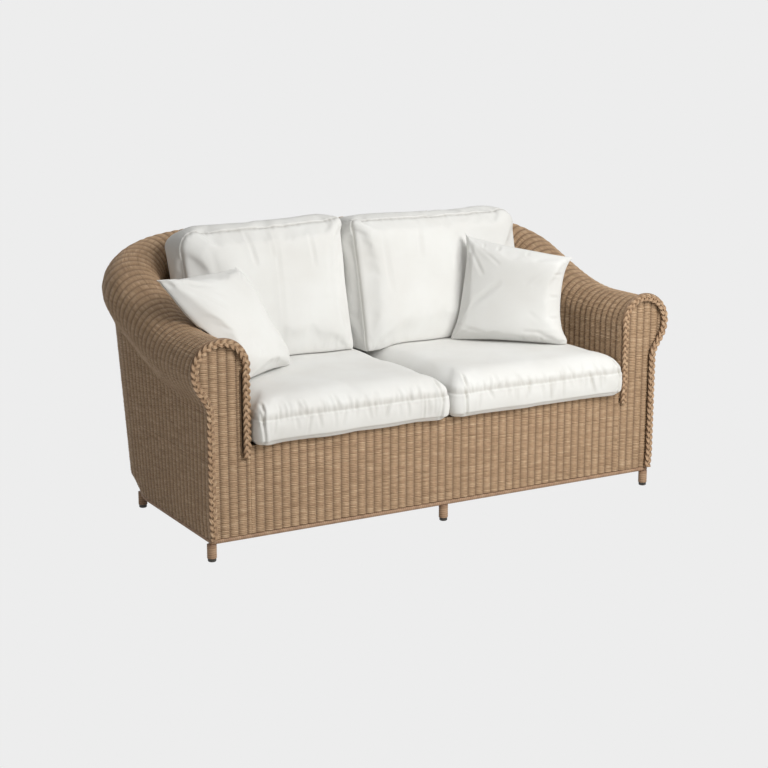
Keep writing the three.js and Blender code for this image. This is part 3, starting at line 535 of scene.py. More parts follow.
turned = np.clip((-np.arctan2(direction[:, 1], direction[:, 0]) - turn_start) / turn_length, 0, 1)
turned = np.maximum.accumulate(turned**2 * (3 - 2 * turned))
over_roll = np.clip(direction[:, 0], 0, 1) ** 0.5
spine = fine + (edge_inset + inner_inset * turned - roll_inset * over_roll)[:, None] * inward
backing_line = spine - backing_shift * over_roll[:, None] * inward
turns = 2 * np.pi * distance_along(spine) / plait_length
for name, side in (("left", 1), ("right", -1)):
    runs = []
    for band in range(3):
        phase = turns + 2 * np.pi * band / 3
        rise = band_lift * np.sin(2 * phase)
        # A cane is darker where its band dips under the others, as painted shade.
        recess = middle_recess - rise / full_recess_lift
        for cane in (-1, 0, 1):
            flat = spine + (band_swing * np.sin(phase) + cane_gap * cane)[:, None] * inward
            points = np.stack([side * flat[:, 0], trim_y - rise, flat[:, 1]], 1)
            runs.append((points, facing_front, noise.uniform(*strand_numbers), recess, 1))
    # The backing strand, behind the bands, is darkened as painted shade.
    backing = np.stack([side * backing_line[:, 0], np.full(len(spine), backing_y), backing_line[:, 1]], 1)
    number = noise.uniform(*strand_numbers)
    runs.append((backing, facing_front, number, backing_recess, backing_widening))
    trim = mesh_piece(f"braid_{name}", *strands(runs, *plait_size, sides=6), plait, "plait")
    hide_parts(f"plaited_trim_{name}")


# Base rail and feet: poles wound with a flat strand, in one piece with the corners. The winding's turns
# show as fine ridges, with painted shade in the grooves between them.
# The last tone is the painted shade in the grooves between turns.
wrapping = cane_material("wound_strand", "#957660", "#B29074", "#C9AB8E", "#735A46")
winding_turn, winding_ridge, pole_sides, rings_per_turn = 0.0065, 0.0012, 12, 4


def wound_pole(path, radius):
    """A pole wound along a path: at a distance s and an angle a round it, its radius is less by a groove
    between turns, ridge * (1 - sqrt(|sin(pi * s / turn + a / 2)|)). It is closed with flat ends."""
    reached = distance_along(path)
    along = np.linspace(0, reached[-1], max(int(reached[-1] / winding_turn * rings_per_turn), 8))
    centres = np.stack([np.interp(along, reached, path[:, k]) for k in range(3)], 1)
    tangent = unit(np.gradient(centres, axis=0))
    across = unit(np.cross(tangent, [1, 0, 0] if abs(tangent[0, 2]) > 0.9 else [0, 0, 1]))
    upright = np.cross(across, tangent)
    angle = 2 * np.pi * np.arange(pole_sides) / pole_sides
    wave = np.abs(np.sin(np.pi * along[:, None] / winding_turn + angle / 2)) ** 0.5
    reach = (radius - winding_ridge * (1 - wave))[..., None]
    section = np.cos(angle)[:, None] * upright[:, None] - np.sin(angle)[:, None] * across[:, None]
    points = (centres[:, None] + reach * section).reshape(-1, 3)
    along = np.repeat(along * 2, pole_sides)
    # The groove between turns, 1 - wave, is darkened as painted shade.
    marks = np.stack([along, np.full(len(points), radius * 1e3), (1 - wave).ravel()], 1)
    return points, tube_faces(len(centres), pole_sides), marks


def middle_line(low, high, axis):
    """Both ends of the line through the middle of a box along one axis."""
    path = np.tile((low + high) / 2, (2, 1))
    path[:, axis] = low[axis], high[axis]
    return path


front_low, front_high = np.array(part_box("base_rail_front"))
for name in ("front", "left", "corner_left", "back", "corner_right", "right"):
    low, high = np.array(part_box(f"base_rail_{name}"))
    if name.startswith("corner"):
        places = np.linspace(1, 2, 24) + (2 if name.endswith("right") else 0)
        path = line_round(places, rail_half_width, rail_straight, rail_corner)[0]
        path[:, 2] = (front_low[2] + front_high[2]) / 2
    else:
        path = middle_line(low, high, (high - low).argmax())
    made = wound_pole(path, (high[2] - low[2]) / 2)
    rail = mesh_piece(f"wound_rail_{name}", *made, wrapping, "wrapped_pole")
    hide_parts(f"base_rail_{name}")

for row in ("front", "back"):
    for place in ("left", "centre", "right"):
        low, high = np.array(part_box(f"foot_{row}_{place}"))
        made = wound_pole(middle_line(low, high, 2), (high[0] - low[0]) / 2)
        foot = mesh_piece(f"wound_foot_{row}_{place}", *made, wrapping, "wrapped_pole")
        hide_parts(f"foot_{row}_{place}")


# Glides: discs under the feet, of dark moulded polyethylene with a fine moulded grain. They keep the wound
# strand off wet ground.
def moulded(name, code, roughness, grain, depth, metallic=0.0):
    """A plain colour with a fine grain, by its size in metres."""
    made, tree, shader = new_material(name)
    spot = add(tree, "TexCoord", {}).outputs["Object"]
    worn = add(tree, "TexNoise", {"Vector": spot, "Scale": 30.0, "Detail": 3.0})
    fine = add(tree, "TexNoise", {"Vector": spot, "Scale": 1 / grain, "Detail": 2.0})
    bump = add(tree, "Bump", {"Height": fine.outputs["Fac"], "Strength": 0.3, "Distance": depth})
    rough = add(tree, "MapRange", {0: worn.outputs["Fac"], 3: roughness - 0.06, 4: roughness + 0.08})
    connect(tree, shader, {"Base Color": colour(code), "Metallic": metallic})
    connect(tree, shader, {"Roughness": rough.outputs[0], "Normal": bump.outputs[0]})
    return made


def finish_solids(material, *starts):
    """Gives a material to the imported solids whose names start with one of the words."""
    for name, node in nodes.items():
        if name.startswith(starts):
            node.data.materials.clear()
            node.data.materials.append(material)


finish_solids(moulded("moulded_polyethylene", "#38352F", 0.5, 0.0008, 0.0001), "glide_")


# Inner frame: bent and welded aluminium tube with a baked brown powder coat. The weave and the
# deck hide it, except from below.
coated = moulded("powder_coated_aluminium", "#7A6A5A", 0.45, 0.0015, 0.0001, metallic=0.3)
finish_solids(coated, "hoop_", "top_rail_", "seat_rail_", "seat_slat_", "front_post")


# Deck: flat straps, 30 mm wide, woven over and under each other and round the seat rails. It carries the
# seat cushions. The solid is a plain plate, so its material draws the straps.
def strap_deck(name, dark, light):
    """A basket weave on the deck's X and Y: the strap on top of a square follows from the square's parity,
    and its height is the arch |sin(pi * distance across / strap)|."""
    made, tree, shader = new_material(name)
    strap = 0.030
    spot = add(tree, "TexCoord", {}).outputs["Object"]
    squares = add(tree, "TexChecker", {"Vector": spot, "Scale": 1 / strap})
    axes = add(tree, "SeparateXYZ", {0: spot}).outputs
    arches = []
    for axis in ("X", "Y"):
        turned = add(tree, "Math", {0: axes[axis], 1: math.pi / strap}, operation="MULTIPLY")
        wave = add(tree, "Math", {0: turned.outputs[0]}, operation="SINE")
        arches.append(add(tree, "Math", {0: wave.outputs[0]}, operation="ABSOLUTE").outputs[0])
    arch = add(tree, "Mix", {0: squares.outputs["Fac"], 2: arches[0], 3: arches[1]}).outputs[0]
    worn = add(tree, "TexNoise", {"Vector": spot, "Scale": 40.0, "Detail": 4.0})
    # A strap is darker towards its edges, where it dips under its neighbours, as painted shade, and darker
    # at random as wear.
    strap_shade_and_wear = add(tree, "Math", {0: arch, 1: worn.outputs["Fac"]}, operation="MULTIPLY")
    strap_tone = tones(tree, strap_shade_and_wear.outputs[0], ((0.05, dark), (0.55, light)))
    bump = add(tree, "Bump", {"Height": arch, "Strength": 0.9, "Distance": 0.0025})
    connect(tree, shader, {"Base Color": strap_tone, "Normal": bump.outputs[0], "Roughness": 0.6})
    return made


finish_solids(strap_deck("woven_straps", "#5F4B39", "#A98C6E"), "seat_deck")


# Cushion covers: off-white woven canvas, matt and faintly soft at its edges, and darker down in its seams
# and folds as painted shade. Its threads are about 0.6 mm apart and are drawn twice as coarse, so that they
# show in a close view.
def canvas(name, tone, shaded_tone, fold_shade_tone):
    """Plain-woven cloth: the threads' height is the sum of the sines of X, Y and Z over the thread pitch,
    so that a surface that faces along one of them shows the other two."""
    made, tree, shader = new_material(name)
    spot = add(tree, "TexCoord", {}).outputs["Object"]
    cloudy = add(tree, "TexNoise", {"Vector": spot, "Scale": 7.0, "Detail": 4.0})
    cloth = tones(tree, cloudy.outputs["Fac"], ((0.3, shaded_tone), (0.7, tone)))
    thread_pitch = 0.0012
    waves = add(tree, "VectorMath", {0: spot, "Scale": 2 * math.pi / thread_pitch}, operation="SCALE")
    waves = add(tree, "VectorMath", {0: waves.outputs[0]}, operation="SINE")
    height = add(tree, "VectorMath", {0: waves.outputs[0], 1: (1, 1, 1)}, operation="DOT_PRODUCT")
    bump = add(tree, "Bump", {"Height": height.outputs["Value"], "Strength": 0.15, "Distance": 0.0001})
    connect(tree, shader, {"Base Color": shaded_by_recess(tree, cloth, fold_shade_tone), "Normal": bump.outputs[0]})
    connect(tree, shader, {"Roughness": 0.9, "Specular IOR Level": 0.2, "Sheen Weight": 0.1})
    return made


cover = canvas("cushion_canvas", "#E9E9E7", "#E3E2DF", "#C0BDB7")


def grid_faces(rows, columns):
    """Four-cornered faces between the points of a grid."""
    at = np.arange(rows * columns).reshape(rows, columns)
    return np.stack([at[:-1, :-1], at[1:, :-1], at[1:, 1:], at[:-1, 1:]], -1).reshape(-1, 4)


def joined(places, faces):
    """The same faces with the points that share a place made one."""
    _, kept, shared = np.unique(np.round(places, 6), axis=0, return_index=True, return_inverse=True)
    return places[kept], shared.ravel()[faces]


def box_grid(across, up, through):
    """The outside of a box, from lines at -1 to 1 along its three axes: places (n, 3) on the box and faces
    (m, 4) turned outwards."""
    lines, places, faces, first = (across, up, through), [], [], 0
    for axis in range(3):
        i, j = (axis + 1) % 3, (axis + 2) % 3
        for side in (-1, 1):
            a, b = np.meshgrid(lines[i], lines[j], indexing="ij")
            place = np.empty(a.shape + (3,))
            place[..., i], place[..., j], place[..., axis] = a, b, side
            faces.append(grid_faces(*a.shape)[:, ::side] + first)
            places.append(place.reshape(-1, 3))
            first += a.size
    return joined(np.concatenate(places), np.concatenate(faces))


def edge_lines(count, finest):
    """Lines from -1 to 1 that lie closer towards both ends, with two extra ones at the very edge."""
    even = np.linspace(-1, 1, count)
    inner = (0.35 * np.sin(np.pi / 2 * even) + 0.65 * even)[1:-1]
    edge = 1 - finest * np.array([0, 1, 2.4])
    return np.concatenate([-edge, inner[np.abs(inner) < edge[-1] - finest], edge[::-1]])


def boxed_form(places, half_width, half_height, radii, seams, crown, rear_crown, fullness):
    """A boxed cushion over its box places, as across, up and through. The outline is a rectangle with
    rounded corners that draws in between them, a panel is the outline's share with height crown * sqrt(1 -
    share^fullness) over its seam, and the border bulges between the seams. With no rear crown the underside
    is flat and turns up to its seam in a quarter circle."""
    draw_in, bulge, turning, turned_in = 0.005, 0.004, 0.07, 0.018
    a, b, c = places.T
    share = np.maximum(np.abs(a), np.abs(b))
    edge_a, edge_b = a / np.maximum(share, 1e-9), b / np.maximum(share, 1e-9)
    radius = np.where(b > 0, np.where(a > 0, radii[0], radii[1]), np.where(a > 0, radii[3], radii[2]))
    x, y = edge_a * half_width, edge_b * half_height
    core_x = np.clip(x, radius - half_width, half_width - radius)
    core_y = np.clip(y, radius - half_height, half_height - radius)
    reach = np.hypot(x - core_x, y - core_y)
    rounding = np.where((x != core_x) & (y != core_y), radius / np.maximum(reach, 1e-9), 1)
    x, y = core_x + (x - core_x) * rounding, core_y + (y - core_y) * rounding
    x, y = x - draw_in * (1 - edge_b**2) * edge_a, y - draw_in * (1 - edge_a**2) * edge_b
    spread = np.where(share >= 1, 1 + bulge * np.cos(np.pi / 2 * c) / np.hypot(x, y), 1)
    dome = np.sqrt(np.maximum(1 - share**fullness, 0))
    through = np.where(c > 0, seams[1] + crown * dome, seams[0] - rear_crown * dome)
    if rear_crown == 0:
        turn = np.clip((share - (1 - turning)) / turning, 0, 1)
        through = np.where(c < 0, seams[0] * (1 - np.sqrt(1 - turn**2)), through)
        spread = np.where(c <= -1, 1 - turned_in * turn, spread)
    on_border = (share >= 1) & (np.abs(c) < 1)
    through = np.where(on_border, (seams[0] + seams[1]) / 2 + c * (seams[1] - seams[0]) / 2, through)
    return np.stack([x * share * spread, y * share * spread, through], 1)


def loose_mesh(name, points, faces):
    """An object of no material, for a modifier to work on."""
    mesh = bpy.data.meshes.new(name)
    mesh.from_pydata(points.tolist(), [], faces.tolist())
    return new_object(name, mesh)


def result_of(loose):
    """The mesh and the points of an object with its modifiers applied. The object itself is taken away."""
    evaluated = loose.evaluated_get(bpy.context.evaluated_depsgraph_get())
    mesh = bpy.data.meshes.new_from_object(evaluated)
    bpy.data.objects.remove(loose)
    points = np.empty(len(mesh.vertices) * 3, np.float32)
    mesh.vertices.foreach_get("co", points)
    return mesh, points.reshape(-1, 3).astype(float)


def filled(points, faces, pressure, furthest):
    """The form once its filling presses on the cloth: a short cloth simulation without gravity, in which no
    point moves further than furthest."""
    loose = loose_mesh("filling", points, faces)
    cloth = loose.modifiers.new("cloth", "CLOTH")
    cloth.settings.quality = 4
    cloth.settings.mass = 0.3
    cloth.settings.tension_stiffness = cloth.settings.compression_stiffness = 12
    cloth.settings.shear_stiffness = 6
    cloth.settings.bending_stiffness = 0.4
    cloth.settings.use_pressure = True
    cloth.settings.uniform_pressure_force = pressure
    cloth.settings.effector_weights.gravity = 0
    for moment in range(1, 21):
        bpy.context.scene.frame_set(moment)
    _, moved = result_of(loose)
    bpy.context.scene.frame_set(1)
    way = moved - points
    length = np.linalg.norm(way, axis=1, keepdims=True)
    return points + way * np.minimum(1, furthest / np.maximum(length, 1e-9))


def finer(points, faces, places):
    """One Catmull-Clark subdivision of a form: points, faces and box places."""
    loose = loose_mesh("finer", points, faces)
    layer = loose.data.attributes.new("place", "FLOAT_VECTOR", "POINT")
    layer.data.foreach_set("vector", places.astype(np.float32).ravel())
    rounds = loose.modifiers.new("rounds", "SUBSURF")
    rounds.levels = rounds.render_levels = 1
    mesh, points = result_of(loose)
    places = np.empty(len(points) * 3, np.float32)
    mesh.attributes["place"].data.foreach_get("vector", places)
    faces = np.empty(len(mesh.loops), np.int32)
    mesh.loops.foreach_get("vertex_index", faces)
    return points, faces.reshape(-1, 4), places.reshape(-1, 3).astype(float)


def fitted(form, low, high):
    """The form stretched along X, Y and Z until its box is the one given."""
    lowest, highest = form.min(0), form.max(0)
    return low + (form - lowest) * (high - low) / (highest - lowest)


def point_normals(points, faces):
    """Outward direction at each point: the mean of its faces' area directions."""
    a, b, c, d = (points[faces[:, k]] for k in range(4))
    turned = np.cross(c - a, d - b)
    normals = np.zeros_like(points)
    for k in range(4):
        np.add.at(normals, faces[:, k], turned)
    return unit(normals)


def uneven(points, faces, draw, depth):
    """The lumps of a soft filling: each point moves along its direction by depth times a mean of eight
    sines of its place, with wavelengths of 0.10 to 0.26 m and directions drawn at random."""
    waves = draw.normal(0, 1, (8, 3))
    waves *= 2 * np.pi / (np.linalg.norm(waves, axis=1, keepdims=True) * draw.uniform(0.10, 0.26, (8, 1)))
    lumps = np.sin(points @ waves.T + draw.uniform(0, 2 * np.pi, 8)).mean(1)
    return points + depth * lumps[:, None] * point_normals(points, faces)


def creased(points, faces, folds, y_weight=1.0):
    """Folds pressed into a form, and how deep each point lies in one, from 0 to 1. A fold is (start, end,
    width, depth): a groove of that depth along the segment, with a low ridge on both sides, that fades
    towards its ends. A low Y weight lets folds on a front face follow its bulge."""
    normals = point_normals(points, faces)
    weights = np.array([1, y_weight, 1])
    shift, recess = np.zeros(len(points)), np.zeros(len(points))
    for start, end, width, depth in folds:
        way = (end - start) * weights
        spot = (points - start) * weights
        along = np.clip(spot @ way / (way @ way), 0, 1)
        away = np.linalg.norm(spot - along[:, None] * way, axis=1) / width
        fade = np.sin(np.pi * along) ** 0.6
        core = np.exp(-(away**2))
        shift += depth * fade * (0.7 * np.exp(-((away / 2.0) ** 2)) - 1.5 * core)
        # How deep a point lies in a fold darkens the cover as painted shade.
        recess += 0.35 * fade * core * min(1.6, depth / width)
    return points + shift[:, None] * normals, np.clip(recess, 0, 1)


def nearest(points, across, up, spot):
    """The point whose two coordinates, across and up, come nearest to a spot's."""
    return points[np.hypot(across - spot[0], up - spot[1]).argmin()]


def seam_pleats(seam, up, down, count, low_x, high_x, draw, deepest):
    """Short pleats that the seam's thread pulls into the cloth: from the seam up the panel or down the
    border."""
    folds = []
    for x in low_x + (high_x - low_x) * (np.arange(count) + draw.uniform(0.1, 0.9, count)) / count:
        foot = seam[np.abs(seam[:, 0] - x).argmin()]
        away = (up if draw.random() < 0.5 else down) * draw.uniform(0.45, 1.0)
        end = foot + away + np.array([draw.normal(0, 0.012), 0, 0])
        width, depth = draw.uniform(0.0035, 0.0065), deepest * draw.uniform(0.35, 1)
        folds.append((foot - 0.3 * away, end, width, depth))
    return folds


def seam_distance(places, through, half_height, seams):
    """Distance from the seam: across the panel where through is 1, and along the border below that."""
    share = np.maximum(np.abs(places[:, 0]), np.abs(places[:, 1]))
    half_border = (seams[1] - seams[0]) / 2
    return np.where(through > 0.999, (1 - share) * half_height, (1 - through) * half_border)


def sewn(form, faces, off_seam):
    """The groove of a seam, 1.6 mm deep, with the cloth standing up on both sides of it, and how deep each
    point lies, for the painted shade in the seam."""
    lip_height, lip_distance, lip_width = 0.0007, 0.006, 0.004
    groove_depth, groove_width, seam_shade_width = 0.0016, 0.0024, 0.0020
    lip = lip_height * np.exp(-(((off_seam - lip_distance) / lip_width) ** 2))
    groove = groove_depth * np.exp(-((off_seam / groove_width) ** 2))
    recess = 0.5 * np.exp(-((off_seam / seam_shade_width) ** 2))
    return form + (lip - groove)[:, None] * point_normals(form, faces), recess


def cloth_marks(places, recess):
    """Marks of a cover: its box places across and up, and how deep each point lies, for its painted shade.
    """
    return np.stack([places[:, 0], places[:, 1], np.clip(recess, 0, 1)], 1)


# Seat cushions: boxed and crowned, with a soft front that rolls down to the seam, which pulls short pleats
# into the cloth, and a tuck down each front corner. They lie on the deck and pass over the apron.
seam_radii = {"left": (0.028, 0.105, 0.032, 0.032), "right": (0.105, 0.028, 0.032, 0.032)}
tuck_insets = {"left": (0.016, 0.030), "right": (0.038, 0.020)}
tuck = [(0.010, 0.035, 0.132), (-0.006, 0.012, 0.100), (-0.002, 0.006, 0.060), (0.004, 0.008, 0.006)]
bulge_room, pressure, give, front_y_weight = 0.005, 2.5, 0.010, 0.3
seat_lumps, seat_pleats, seat_pleat_depth, seat_pleat_inset = 0.004, 44, 0.0045, 0.05
seams = (0.012, 0.081)
seat_tops = []
for name, side in (("left", -1), ("right", 1)):
    low, high = np.array(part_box(f"seat_cushion_{name}"))
    middle, half = (low + high) / 2, (high - low) / 2 - bulge_room
    places, faces = box_grid(edge_lines(78, 0.008), edge_lines(50, 0.007), edge_lines(9, 0.09))
    form = boxed_form(places, half[0], half[1], seam_radii[name], seams, high[2] - low[2] - seams[1], 0, 11)
    form += [middle[0], middle[1], low[2]]
    form = filled(form, faces, pressure, give)
    form[:, 2] = np.maximum(form[:, 2], low[2])
    form, faces, places = finer(form, faces, places)
    form = fitted(form, low, high)
    draw = np.random.default_rng(11 + side)
    form = uneven(form, faces, draw, seat_lumps)
    form, recess = sewn(form, faces, seam_distance(places, places[:, 2], half[1], seams))
    seam = form[(places[:, 2] > 0.999) & (places[:, 1] < -0.999)]
    up, down = np.array([0, 0.012, 0.052]), np.array([0, 0, -0.064])
    first_x, last_x = low[0] + seat_pleat_inset, high[0] - seat_pleat_inset
    folds = seam_pleats(seam, up, down, seat_pleats, first_x, last_x, draw, seat_pleat_depth)
    for corner, inset in zip((-1, 1), tuck_insets[name]):
        edge_x = middle[0] + corner * half[0]
        line = [np.array([edge_x - corner * (inset + x), low[1] + y, low[2] + z]) for x, y, z in tuck]
        folds += [(line[0], line[2], 0.0045, 0.008), (line[1], line[3], 0.0045, 0.008)]
    form, fold_recess = creased(form, faces, folds, front_y_weight)
    form[:, 2] = np.maximum(form[:, 2], low[2])
    # Seams, pleats and tucks are darkened as painted shade.
    marks = cloth_marks(places, recess + fold_recess)
    body = f"seat_cushion_{name}_body"
    cushion = mesh_piece(f"seat_cushion_cover_{name}", form, faces, marks, cover, "cushion_cover", body)
    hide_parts(f"seat_cushion_{name}")
    seat_tops.append(form[places[:, 2] > 0.999])

tops = np.concatenate(seat_tops)
valley_depth, square, square_count = 0.018, 0.010, (140, 100)


def square_at(x, y):
    """The numbers of the 10 mm square of the seat that a point lies in, from its left front corner."""
    return ((x + 0.70) / square).astype(int), ((y + 0.55) / square).astype(int)


squares = np.full(square_count, tops[:, 2].max() - valley_depth)
np.maximum.at(squares, square_at(tops[:, 0], tops[:, 1]), tops[:, 2])
squares = sum(np.roll(squares, (i, j), (0, 1)) for i in range(-2, 3) for j in range(-2, 3)) / 25


def seat_height(x, y):
    """Height of what a cushion finds under it on the seat: the highest top point in each square, evened out
    over 50 mm and never deeper than the valley between the two seat cushions that a filled cushion
    bridges."""
    return squares[square_at(x, y)]


# Back cushions: boxed and crowned, standing on the seat cushions and leaning on the back, with pleats under
# the top seam and long soft folds down the panel. A fold is given by X and Z of its two ends, its width and
# depth.
lean, wall_gap = 0.25, 0.026
rear_y = front_y + roll_straight + roll_corner - back_radius - wall_gap
back_radii = {"left": (0.020, 0.060, 0.034, 0.020), "right": (0.058, 0.020, 0.020, 0.034)}
spare_low = {"left": [0.006, 0, 0], "right": [0, 0, 0]}
spare_high = {"left": [0, 0, 0.012], "right": [0.011, 0, 0.009]}
rear_drop, tilt, resting_gap = 0.016, {"left": 0.007, "right": 0.0}, 0.001
back_seams, back_crown = (0.034, 0.172), 0.034
back_lumps, top_pleats, top_pleat_depth, foot_pleats, foot_pleat_depth = 0.0035, 22, 0.0035, 10, 0.003
back_pleat_inset = 0.04
panel_folds = {
    "left": [
        (-0.315, 0.83, -0.318, 0.43, 0.009, 0.005),
        (-0.405, 0.84, -0.39, 0.74, 0.008, 0.004),
        (-0.335, 0.85, -0.33, 0.76, 0.007, 0.003),
        (-0.20, 0.83, -0.19, 0.72, 0.008, 0.003),
        (-0.13, 0.80, -0.14, 0.55, 0.014, 0.002),
        (-0.53, 0.80, -0.50, 0.62, 0.013, 0.002),
    ],
    "right": [
        (0.06, 0.82, 0.075, 0.62, 0.012, 0.002),
        (0.20, 0.82, 0.19, 0.72, 0.010, 0.003),
        (0.33, 0.80, 0.32, 0.66, 0.012, 0.003),
    ],
}
for name, side in (("left", -1), ("right", 1)):
    low, high = np.array(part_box(f"back_cushion_{name}"))
    middle, half = (low + high) / 2, (high - low) / 2 - bulge_room
    places, faces = box_grid(edge_lines(68, 0.008), edge_lines(44, 0.01), edge_lines(14, 0.03))
    form = boxed_form(places, half[0], half[2], back_radii[name], back_seams, back_crown, back_crown, 6)
    across, up, through = form.T
    form = np.stack([middle[0] + across, rear_y - through + lean * up, middle[2] + up], 1)
    form = filled(form, faces, pressure, give)
    form, faces, places = finer(form, faces, places)
    form[:, 2] -= rear_drop * np.clip(2 * places[:, 1] - 1, 0, 1) * (1 - places[:, 2]) / 2
    form = fitted(form, low - spare_low[name], high + spare_high[name])
    form[:, 2] += tilt[name] * places[:, 0] * (1 + places[:, 1]) / 2
    draw = np.random.default_rng(21 + side)
    form = uneven(form, faces, draw, back_lumps)
    form, recess = sewn(form, faces, seam_distance(places, np.abs(places[:, 2]), half[2], back_seams))
    on_front = places[:, 2] > 0.999
    seam = form[on_front & (places[:, 1] > 0.999)]
    up, down = np.array([0, 0.060, 0]), np.array([0, -0.010, -0.060])
    first_x, last_x = low[0] + back_pleat_inset, high[0] - back_pleat_inset
    folds = seam_pleats(seam, up, down, top_pleats, first_x, last_x, draw, top_pleat_depth)
    seam = form[on_front & (places[:, 1] < -0.999)]
    up = np.array([0, 0, 0.045])
    folds += seam_pleats(seam, up, up, foot_pleats, first_x, last_x, draw, foot_pleat_depth)
    front = form[on_front]
    for *ends, width, depth in panel_folds[name]:
        start, end = (nearest(front, front[:, 0], front[:, 2], spot) for spot in (ends[:2], ends[2:]))
        folds.append((start, end, width, depth))
    form, fold_recess = creased(form, faces, folds, front_y_weight)
    seam = form[on_front & (places[:, 1] < -0.999)]
    seam = seam[seam[:, 0].argsort()]
    sinking = seat_height(seam[:, 0], seam[:, 1]) + resting_gap - seam[:, 2]
    foot = np.clip((-places[:, 1] - 0.6) / 0.4, 0, 1) ** 1.5
    form[:, 2] += foot * np.interp(form[:, 0], seam[:, 0], sinking)
    form[:, 2] = np.maximum(form[:, 2], seat_height(form[:, 0], form[:, 1]) + resting_gap)
    # Seams, pleats and folds are darkened as painted shade.
    marks = cloth_marks(places, recess + fold_recess)
    body = f"back_cushion_{name}_body"
    cushion = mesh_piece(f"back_cushion_cover_{name}", form, faces, marks, cover, "cushion_cover", body)
    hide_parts(f"back_cushion_{name}")


# Throw pillows: two squares of cloth sewn along their edges and filled, so that they are thick in the
# middle and thin at the edges, with the corners drawn out. The left one slumps over the arm. A corner has
# three shares: inwards from the arm's inner face, forwards from the back's inner face, and up over the seat
# cushion.
pillow_corners = {
    "left": {
        "top_left": (-0.2330, 0.5911, 0.9200),
        "top_right": (0.2750, 0.3357, 0.8900),
        "bottom_right": (0.4375, 0.5400, 0.0152),
        "bottom_left": (0.1250, 0.7350, 0.0450),
    },
    "right": {
        "top_left": (0.4560, 0.3386, 1.0500),
        "top_right": (0.1172, 0.7589, 0.8700),
        "bottom_right": (0.1300, 0.7472, 0.0352),
        "bottom_left": (0.5688, 0.3882, 0.0424),
    },
}
corner_places = ((-1, 1), (1, 1), (1, -1), (-1, -1))
rounding = {"left": 0.05, "right": 0.12}
edge_draw_in, top_draw_in, foot_draw_in = {"left": (-0.10, 0.0), "right": (0.12, 0.09)}, 0.05, 0.02
front_swell, rear_swell, swell_share = 0.064, 0.027, 0.8
pillow_pressure, pillow_give, pillow_lumps = 4, 0.014, 0.004
pillow_folds = {
    "left": [(-0.30, 0.55, -0.75, 0.80, 0.007, 0.003), (0.55, -0.35, 0.85, -0.70, 0.008, 0.004)],
    "right": [
        (-0.15, 0.25, -0.70, -0.30, 0.010, 0.005),
        (0.30, -0.70, 0.90, -0.72, 0.006, 0.004),
        (0.32, -0.68, 0.28, -0.97, 0.005, 0.003),
        (-0.80, 0.90, -0.84, 0.20, 0.008, 0.004),
        (-0.75, -0.72, -0.35, -0.80, 0.008, 0.003),
    ],
}
settled = {"left": -0.0045, "right": -0.0083}
pillow_height, arm_gap = 0.330, 0.006
back_face = roll_straight + roll_corner - back_radius
seat_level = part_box("seat_cushion_left")[1].z


def off_the_arm(form, side):
    """Points that would lie within arm_gap of the arm's roll or inner wall move out of it: above the roll's
    middle away from it, below it inwards."""
    distance = form[:, 1] - front_y
    radius = arm_radius + (back_radius - arm_radius) * back_share(distance)
    over = form[:, 2] - roll_top(distance) + radius
    outwards = side * form[:, 0] - roll_half_width
    reach = np.maximum(np.hypot(outwards, over), 1e-9)
    push = np.maximum(1, (radius + arm_gap) / reach)
    upper = over > 0
    moved_out = np.where(upper, outwards * push, np.minimum(outwards, -radius - arm_gap))
    moved_up = np.where(upper, over * push, over)
    return np.stack([side * (moved_out + roll_half_width), form[:, 1], form[:, 2] + moved_up - over], 1)


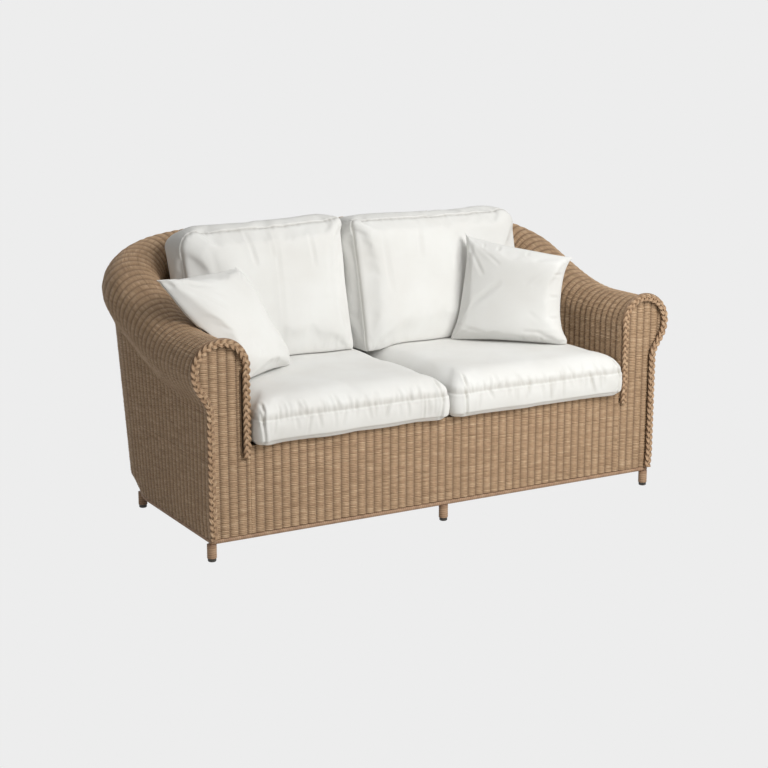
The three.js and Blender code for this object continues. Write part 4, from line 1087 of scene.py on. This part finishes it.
for name, side in (("left", -1), ("right", 1)):
    inwards, forwards, upwards = np.array(list(pillow_corners[name].values())).T
    x, y = side * arm_inner * (1 - inwards), front_y + back_face * (1 - forwards)
    corners = np.stack([x, y, seat_level + upwards * pillow_height + settled[name]], 1)
    top_left, top_right, bottom_right, bottom_left = corners
    across = top_right - top_left + bottom_right - bottom_left
    facing = unit(np.cross(across, top_left - bottom_left + top_right - bottom_right))
    lines = edge_lines(46, 0.012)
    u, v = (grid.ravel() for grid in np.meshgrid(lines, lines, indexing="ij"))
    off_edge = np.where((np.abs(u) == 1) | (np.abs(v) == 1), 0, 1)
    places = np.concatenate([np.stack([u, v, off_edge], 1), np.stack([u, v, -off_edge], 1)])
    faces = grid_faces(len(lines), len(lines))
    places, faces = joined(places, np.concatenate([faces, faces[:, ::-1] + len(u)]))
    u, v, c = places.T
    beyond = np.clip(np.abs(np.stack([u, v])) / rounding[name] - 1 / rounding[name] + 1, 0, 1)
    cut = rounding[name] * (1 - beyond.max(0) / np.maximum(np.hypot(*beyond), 1e-9))
    cut = np.where((beyond.min(0) > 0) & (v < 0), cut, 0)
    flat_u, flat_v = u - np.sign(u) * cut * beyond[0], v - np.sign(v) * cut * beyond[1]
    draw_in = np.where(side * u > 0, *edge_draw_in[name])
    u_share = (1 + flat_u * (1 - draw_in * (1 - v**2))) / 2
    v_share = (1 + flat_v * (1 - np.where(v > 0, top_draw_in, foot_draw_in) * (1 - u**2))) / 2
    bottom = bottom_left + u_share[:, None] * (bottom_right - bottom_left)
    top = top_left + u_share[:, None] * (top_right - top_left)
    ends = np.where(v < 0, 1 - np.abs(v) ** 5, 1 - v**2)
    swell = np.sqrt((1 - u**2) * ends) * np.where(c > 0, front_swell, rear_swell) * c
    form = bottom + v_share[:, None] * (top - bottom) + swell_share * swell[:, None] * facing
    form = filled(form, faces, pillow_pressure, pillow_give)
    form, faces, places = finer(form, faces, places)
    u, v = places[:, 0], places[:, 1]
    for corner, (right, up) in zip(corners, corner_places):
        tip = (u * right + v * up).argmax()
        form += ((1 + u * right) * (1 + v * up) / 4)[:, None] * (corner - form[tip])
    draw = np.random.default_rng(31 + side)
    form = uneven(form, faces, draw, pillow_lumps)
    on_front = places[:, 2] > 0.5
    front = form[on_front], u[on_front], v[on_front]
    folds = []
    for *ends, width, depth in pillow_folds[name]:
        folds.append((nearest(*front, ends[:2]), nearest(*front, ends[2:]), width, depth))
    for right, up in corner_places:
        for _ in range(2):
            reaches, swing = (draw.uniform(0.03, 0.10), draw.uniform(0.35, 0.75)), draw.uniform(-0.35, 0.35)
            ends = [(right * (1 - r * (1 + swing)), up * (1 - r * (1 - swing))) for r in reaches]
            start, end = (nearest(*front, spot) for spot in ends)
            folds.append((start, end, draw.uniform(0.005, 0.009), draw.uniform(0.002, 0.0045)))
    for number in range(10):
        edge = ((1, 0), (0, 1), (0, -1), (-1, 0))[number % 4]
        place, inner_end = draw.uniform(-0.8, 0.8), draw.uniform(0.72, 0.88)
        ends = [(e, place) if edge[0] else (place, e) for e in (sum(edge) * 0.97, sum(edge) * inner_end)]
        start, end = (nearest(*front, spot) for spot in ends)
        folds.append((start, end, draw.uniform(0.004, 0.006), draw.uniform(0.002, 0.0035)))
    form, recess = creased(form, faces, folds)
    form = off_the_arm(form, side)
    # Folds are darkened as painted shade, at 0.7 of their depth.
    marks = cloth_marks(places, 0.7 * recess)
    body = f"throw_pillow_{name}_body"
    pillow = mesh_piece(f"throw_pillow_cover_{name}", form, faces, marks, cover, "cushion_cover", body)
    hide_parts(f"throw_pillow_{name}")
